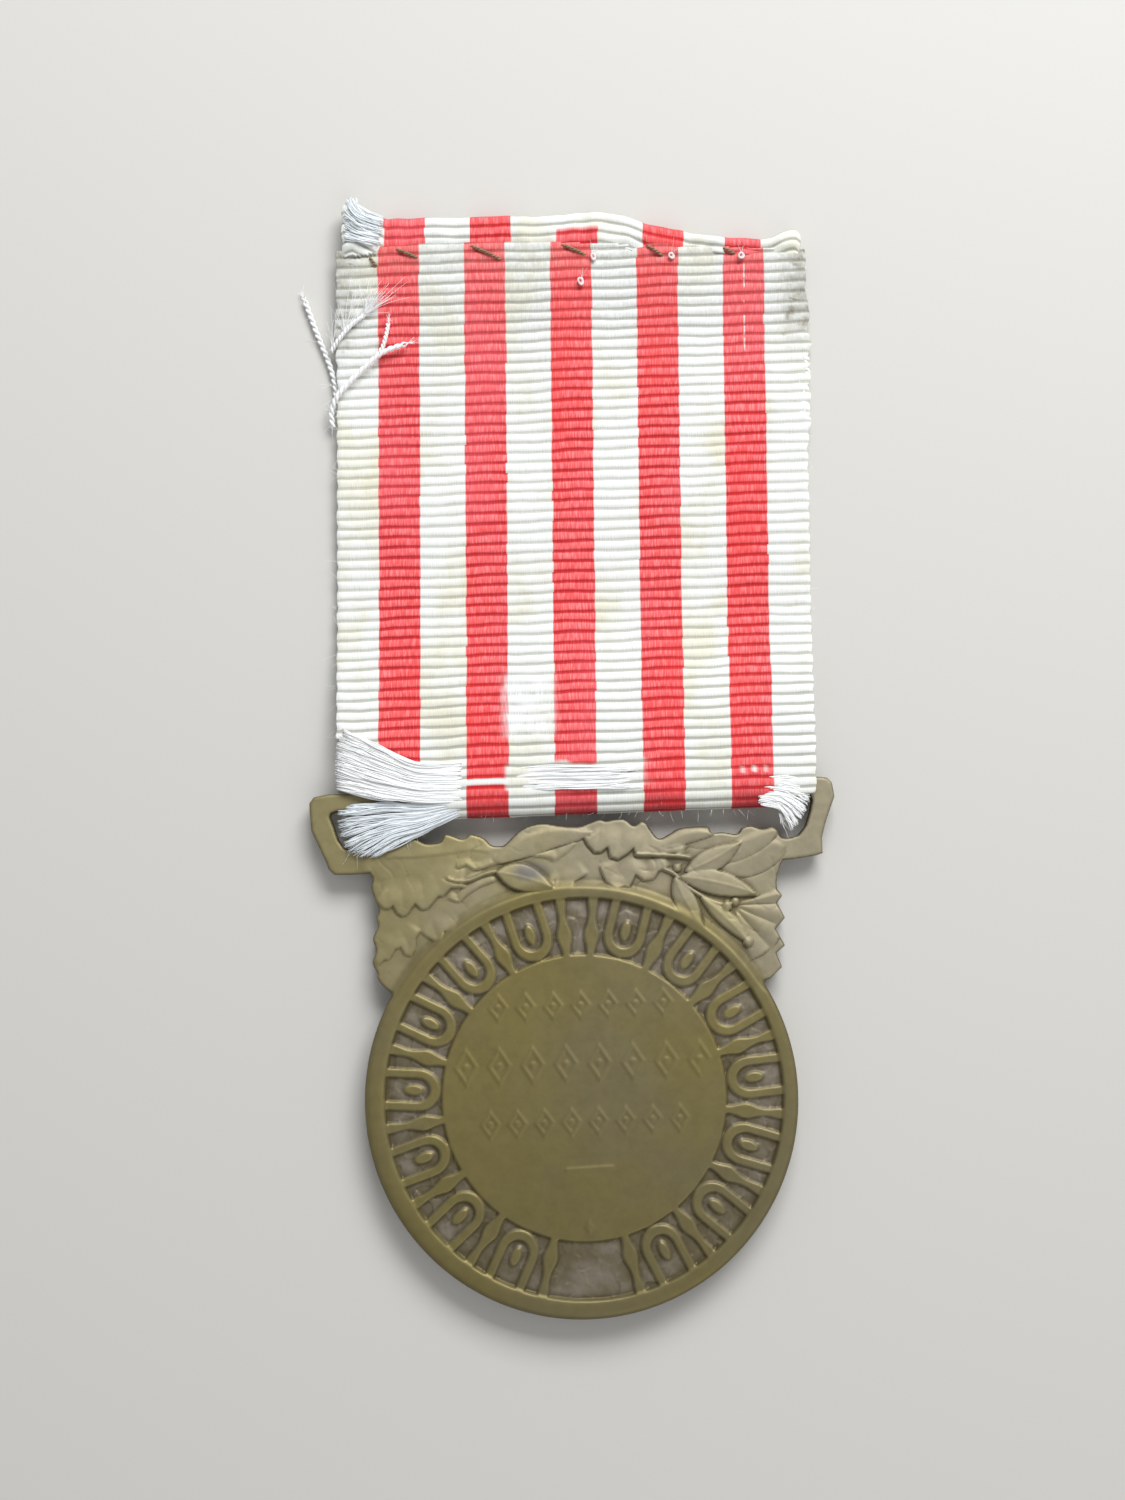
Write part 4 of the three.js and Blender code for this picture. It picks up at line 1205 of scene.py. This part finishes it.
def make_hem_stitches(surface):
    """One running thread: over the hem on the slant, and under it to the next stitch."""
    path = []
    for first, last in SEWING_HOLES:
        start, end = np.array(on_ribbon(*first)), np.array(on_ribbon(*last))
        for t in np.linspace(0.0, 1.0, 14):
            x, y = start + (end - start) * t
            over = surface.at(x, y) + SEWING_R * 0.7 + 0.05 * math.sin(math.pi * t)
            sunk = 0.5 * (1 - math.sin(math.pi * t) ** 0.4)
            path.append((x, y, over - sunk))
        x, y = end + (end - start) * 0.08
        path.append((x, y, 0.5))
    path = curve_through(path, 700)
    new_threads("hem_stitches", twisted(path, SEWING_R), BROWN_SILK, ("hem_thread",))


# Loose ends of white thread by the hem: (across, along, height)
TAIL_OUTER = [(-18.5, 31.8, 0.35), (-18.65, 33.2, 0.35), (-19.15, 34.9, 0.3), (-20.15, 37.4, 0.3),
              (-20.85, 39.3, 0.3), (-21.2, 40.2, 0.3)]
TAIL_LONG = [(-18.75, 29.6, 0.6), (-18.8, 30.9, 0.9), (-18.1, 32.2, 1.35), (-16.5, 33.8, 1.45),
             (-14.8, 35.2, 1.5), (-12.8, 35.9, 1.45)]
TAIL_BRANCH = [(-15.3, 34.9, 1.5), (-14.8, 35.6, 1.6), (-14.5, 36.6, 1.6), (-14.35, 37.6, 1.5)]
TAIL_SHORT = [(-18.9, 35.6, 0.9), (-18.2, 36.5, 1.3), (-17.2, 37.6, 1.4), (-16.2, 38.3, 1.4)]
TAIL_R = 0.23


def tail(route, radius, turn_every):
    """The path of a loose end, and its plied thread."""
    places = [(*on_ribbon(across, along), z) for across, along, z in route]
    path = curve_through(places, 90)
    return path, twisted(path, radius, turn_every, frayed=True)


def end_brush(path, count, length, rng):
    return fibres(path[-1], path[-1] - path[-6], count, length, 0.25, rng)


def make_tails():
    """Three loose ends of tacking thread. The long one splits, the short one is a brush of fibres."""
    rng = np.random.default_rng(71)
    path, tubes = tail(TAIL_OUTER, TAIL_R, 1.1)
    tubes += end_brush(path, 14, 0.8, rng)
    for k in (10, 30, 50, 70):
        tubes += fibres(path[k], (-0.6, 0.6, 0.1), 2, 0.9, 0.6, rng, 0.012)
    new_threads("loose_end_outer", tubes, WHITE_SILK, ("thread_tail_outer",))

    path, tubes = tail(TAIL_LONG, TAIL_R, 1.1)
    branch_path, branch_tubes = tail(TAIL_BRANCH, TAIL_R * 0.75, 0.7)
    tubes += end_brush(path, 14, 0.7, rng) + branch_tubes + end_brush(branch_path, 12, 0.7, rng)
    for k in (4, 12, 24, 40, 60):
        tubes += fibres(path[k], (-0.3, -0.8, 0.1), 4, 1.3, 0.5, rng, 0.014)
    new_threads("loose_end_long", tubes, WHITE_SILK, ("thread_tail_long",))

    path, tubes = tail(TAIL_SHORT, TAIL_R * 0.8, 0.7)
    for k, way, count, length, spread in (
            (-1, (0.75, 0.7, 0.05), 34, 3.2, 0.2), (-1, (0.35, 1.0, 0.05), 26, 3.6, 0.16),
            (40, (0.7, 0.7, 0.1), 22, 3.0, 0.24), (40, (0.1, 1.0, 0.05), 16, 3.2, 0.26),
            (4, (0.2, 1.0, 0.1), 18, 3.0, 0.28)):
        tubes += fibres(path[k], way, count, length, spread, rng)
    new_threads("loose_end_short", tubes, WHITE_SILK, ("thread_tail_short",))


# Tiny pulled loops of clear thread on the front: (across, along), size
PULLED_LOOPS = [((1.75, 42.25), 0.28), ((0.75, 40.35), 0.32), ((7.9, 42.1), 0.28), ((13.4, 41.9), 0.3)]


def make_pulled_loops(surface):
    rng = np.random.default_rng(79)
    for number, ((across, along), size) in enumerate(PULLED_LOOPS, start=1):
        x, y = on_ribbon(across, along)
        turns = np.linspace(0.3, 1.7 * math.tau, 60)
        wide = size * np.linspace(1.0, 0.4, 60) * (1 + 0.15 * np.sin(2.3 * turns + number))
        ring = np.column_stack([x + wide * np.sin(turns) * 0.7, y + wide * np.cos(turns),
                                surface.at(x, y) + 0.06 + 0.2 * np.sin(turns * 0.3) ** 2])
        tubes = [(ring, 0.09, 7), *fibres(ring[0], (0.4, 0.9, 0.1), 4, 0.8, 0.4, rng, 0.014)]
        new_threads(f"pulled_loop_{number}", tubes, CLEAR_THREAD,
                    (f"thread_loop_{number}",))


def make_edge_loops(surface):
    """Slack turns of weft that stand out of the right selvage, and short hairs off both."""
    rng = np.random.default_rng(91)
    tubes = []
    for along in np.cumsum(rng.uniform(0.6, 1.5, 8)) + 28.5:
        reach, high = rng.uniform(-0.1, 0.2), rng.uniform(0.6, 1.1)
        z = surface.at(*on_ribbon(17.9, along)) - 0.3
        loop = [(17.6, along - 0.1), (18.2 + reach, along), (18.5 + reach, along + high / 2),
                (18.2 + reach, along + high), (17.6, along + high + 0.1)]
        path = curve_through([(*on_ribbon(*place), z + rng.uniform(-0.05, 0.05)) for place in loop], 24)
        tubes += twisted(path, 0.2, 0.7)
    for along in rng.uniform(4.0, 42.0, 60):
        side = rng.choice([-1.0, 1.0])
        start = (*on_ribbon(side * 18.3, along), 1.0)
        tubes += fibres(start, (side, rng.uniform(-1.0, 1.0), 0.0), 1, 0.8, 0.4, rng, 0.012)
    new_threads("edge_loops", tubes, WHITE_SILK)


FAN_STEPS = 26                  # points along each strand


def place_on(line, share):
    """The point at a share of the way along a line."""
    line = np.asarray(line, float)
    run = run_along(line)
    return at_distances(line, run, [share * run[-1]])[0]


def fan(roots, mids, tips, heights, rng, layers, per_layer, radius, wave, ragged, locks=9,
        gather=0.45):
    """Strands that leave a line of roots side by side and spread, in locks, to a line of tips.

    There is one height for the roots, each of the mids and the tips, or a pair of heights for the
    two ends of that line.
    """
    def drawn(share, amount, scatter):
        """A place along the fan, drawn towards the middle of its lock."""
        middle = (math.floor(share * locks) + 0.5) / locks
        return float(np.clip(mix(share, middle, amount) + rng.normal(0, scatter), 0, 1))

    lifts = rng.uniform(-0.12, 0.12, locks + 1)
    rises = [0.1, 0.7] + [1.0] * len(mids)
    t = np.linspace(0, 1, FAN_STEPS)
    tubes = []
    for layer, number in np.ndindex(layers, per_layer):
        share = (number + rng.uniform(0, 1)) / per_layer
        root = place_on(roots, share) + [rng.uniform(-ragged, ragged), 0.0]
        tip = place_on(tips, drawn(share, gather, 0.025))
        stops = [root, *(place_on(line, drawn(share, gather * 0.7, 0.02)) for line in mids)]
        stops.append(tip + (root - tip) * rng.uniform(0.0, 0.06))
        lift = layer * radius * 1.2 + lifts[min(int(share * locks), locks - 1)]
        levels = [mix(*np.broadcast_to(height, 2), share) for height in heights]
        path = curve_through([np.append(stop, level + lift * rise + rng.normal(0, 0.025))
                              for stop, level, rise in zip(stops, levels, rises)], FAN_STEPS)
        phase, rate = rng.uniform(0, math.tau), rng.uniform(2.0, 5.0)
        path[:, 1] += wave * np.sin(rate * t * math.pi + phase) * t
        path[:, 2] += 0.04 * np.sin(rate * 1.3 * t * math.pi + phase) * t
        thinned = 1 - 0.5 * smooth(0.85, 1.0, t)
        tubes.append((path, radius * rng.uniform(0.75, 1.15) * thinned, 5))
    return tubes


FEW = 1.0
FRONT_TOP = MID_Z + FOLD_HIGH + LAYER / 2       # top of the front layer over the bar


def make_left_frays(rng):
    """Weft strands laid bare at the left, where the warp has worn through round the bar."""
    top = FRONT_TOP
    upper = fan([(-8.9, 26.0), (-8.9, 22.9)],
                [((-11.7, 26.2), (-11.7, 23.0)), ((-14.6, 27.6), (-14.4, 23.35))],
                [(-17.3, 29.0), (-17.9, 27.6), (-18.05, 26.2), (-17.95, 24.2)],
                ((top - 0.08, top - 0.14), top + 0.06, top - 0.05, top - 0.4),
                rng, 4, int(84 * FEW), 0.05, 0.08, 0.7, 10)
    new_threads("fray_upper_left", upper, WHITE_SILK)
    lower = fan([(-8.8, 22.9), (-8.8, 22.1)],
                [((-11.7, 22.95), (-11.4, 20.6)), ((-14.6, 23.2), (-13.6, 19.7))],
                [(-16.9, 23.1), (-18.0, 22.5), (-17.9, 21.2), (-17.5, 19.8), (-16.6, 19.1),
                 (-14.9, 19.0)],
                ((top - 0.14, top - 0.6), (top - 0.15, top - 0.4), top - 0.3, top - 0.45),
                rng, 4, int(50 * FEW), 0.055, 0.12, 0.7, 8, 0.8)
    for place in np.linspace(0.0, 1.0, int(50 * FEW)):
        start = (mix(-17.2, -11.0, place), mix(19.5, 21.0, place ** 1.5), top - 0.45)
        lower += fibres(start, (-0.4, -1.0, -0.1), 1, 0.8, 0.4, rng, 0.012)
    # in the white silk's darker copy, painted shade
    new_threads("fray_lower_left", lower, SHADED_SILK)


def make_right_fray(rng):
    """A brush of weft at the right end of the fold."""
    top = FRONT_TOP
    right = fan([(15.3, 24.1), (15.1, 21.9)], [((17.0, 24.0), (16.2, 21.3))],
                [(18.5, 24.0), (18.55, 22.4), (17.9, 20.8), (16.9, 19.8)],
                (top - 0.2, top - 0.08, top - 0.38), rng, 3, int(40 * FEW), 0.055, 0.1, 0.7)
    right += fibres((16.0, 21.2, top - 0.4), (0.55, -1.0, 0.0), int(16 * FEW), 1.5, 0.18, rng, 0.02)
    new_threads("fray_right", right, WHITE_SILK)


def make_bare_weft(rng):
    """White weft over the third stripe, where its red warp has worn off."""
    top = FRONT_TOP
    band = fan([(-3.9, 25.5), (-3.9, 23.7)],
               [((-1.5, 25.55), (-1.5, 23.65)), ((2.6, 25.35), (2.6, 23.55))],
               [(6.9, 25.1), (4.6, 24.8), (6.4, 24.4), (4.9, 24.0), (6.0, 23.5)],
               (top - 0.25, top - 0.02, top, top - 0.2), rng, 2, int(30 * FEW), 0.045, 0.06, 1.1)
    new_threads("bare_weft", band, WHITE_SILK)


def make_fold_hairs(rng):
    """Single hairs that hang from the fold into the slot."""
    hairs = []
    for place in np.linspace(-7.0, 14.5, int(40 * FEW)):
        start = (place + rng.uniform(-0.3, 0.3), 21.86 - 0.02 * place, MID_Z + rng.uniform(-0.3, 0.6))
        hairs += fibres(start, (rng.uniform(-0.6, 0.6), -1.0, 0.1), 1, 0.7, 0.3, rng, 0.012)
    new_threads("fold_hairs", hairs, WHITE_SILK)


def make_corner_tuft(rng):
    """The ravelled top left corner of the hem."""
    tuft = fan([(-13.3, 69.3), (-13.6, 67.0)], [((-14.8, 70.1), (-15.0, 67.2))],
               [(-14.9, 70.9), (-15.8, 71.0), (-16.15, 69.4), (-16.1, 67.3)],
               (1.75, 2.05, 1.8), rng, 2, int(34 * FEW), 0.05, 0.05, 0.5)
    # in the white silk's darker copy, painted shade
    new_threads("corner_tuft", tuft, SHADED_SILK)


def upper_face(cloth):
    """The part of the cloth's upper face that shows: the front layer and the folded tab."""
    front = cloth["s"] < cloth["marks"]["fold"]
    tab = (cloth["s"] > cloth["marks"]["tab"]) & (cloth["along"] > across_profile(TAB_EDGE, cloth["u"]))
    return HeightMap(cloth["upper"][front | tab])


def make_ribbon_and_threads():
    cloth = ribbon_surface()
    make_ribbon(cloth)
    surface = upper_face(cloth)
    make_hem_stitches(surface)
    make_tails()
    make_pulled_loops(surface)
    make_edge_loops(surface)
    rng = np.random.default_rng(83)
    for make in (make_left_frays, make_right_fray, make_bare_weft, make_fold_hairs, make_corner_tuft):
        make(rng)


make_ribbon_and_threads()

# ------------------------------------------------------------------ floor, light and camera

def make_floor():
    half = 400.0
    points = [(-half, -half, -0.02), (half, -half, -0.02), (half, half, -0.02), (-half, half, -0.02)]
    floor = new_object("floor", points, [(0, 1, 2, 3)], rounded=False)
    n = Nodes("pale_floor")
    n.surface({"Base Color": srgb(206, 204, 199), "Roughness": 0.85})
    floor.data.materials.append(n.material)


def add_light(name, place, target, size, power, colour=(1.0, 1.0, 1.0)):
    data = bpy.data.lights.new(name, "AREA")
    data.shape = "RECTANGLE"
    data.size, data.size_y = size[0] * MM, size[1] * MM
    data.energy = power
    data.color = colour
    light = bpy.data.objects.new(name, data)
    light.location = to_frame([place])[0]
    aim = Vector(to_frame([target])[0]) - light.location
    light.rotation_euler = aim.to_track_quat("-Z", "Y").to_euler()
    bpy.context.scene.collection.objects.link(light)


def make_lights():
    world = bpy.data.worlds.new("studio")
    world.use_nodes = True
    background = world.node_tree.nodes["Background"]
    background.inputs["Color"].default_value = (0.95, 0.97, 1.0, 1.0)
    background.inputs["Strength"].default_value = 0.38
    bpy.context.scene.world = world
    middle = (0.0, 26.0, 0.0)
    add_light("window", (90.0, 260.0, 225.0), middle, (240.0, 150.0), 1.25, (0.98, 0.99, 1.0))
    add_light("fill", (120.0, -260.0, 300.0), middle, (300.0, 300.0), 0.3, (1.0, 0.97, 0.92))


CAMERA_LENS = 48.0
CAMERA_SENSOR = 36.0            # height of the view that the lens is given for
CAMERA_DISTANCE = 155.04
CAMERA_TILT = math.radians(4.01)
CAMERA_ROLL = math.radians(2.2)
LOOKED_AT = (-1.455, 26.717, 1.2)  # from the disc's centre, before the roll


def make_camera():
    data = bpy.data.cameras.new("camera")
    data.sensor_fit = "VERTICAL"
    data.sensor_height = CAMERA_SENSOR
    data.lens = CAMERA_LENS
    data.clip_start = 0.005
    data.clip_end = 5.0
    camera = bpy.data.objects.new("camera", data)
    turn = Matrix.Rotation(-CAMERA_ROLL, 4, "Z")
    back = turn @ Vector((0.0, -math.sin(CAMERA_TILT), math.cos(CAMERA_TILT)))
    up = turn @ Vector((0.0, math.cos(CAMERA_TILT), math.sin(CAMERA_TILT)))
    right = up.cross(back).normalized()
    camera.location = to_frame([turn @ Vector(LOOKED_AT) + back * CAMERA_DISTANCE])[0]
    camera.rotation_euler = Matrix((right, back.cross(right), back)).transposed().to_euler()
    bpy.context.scene.collection.objects.link(camera)
    bpy.context.scene.camera = camera


make_floor()
make_lights()
make_camera()
bpy.context.scene.view_settings.view_transform = "Standard"
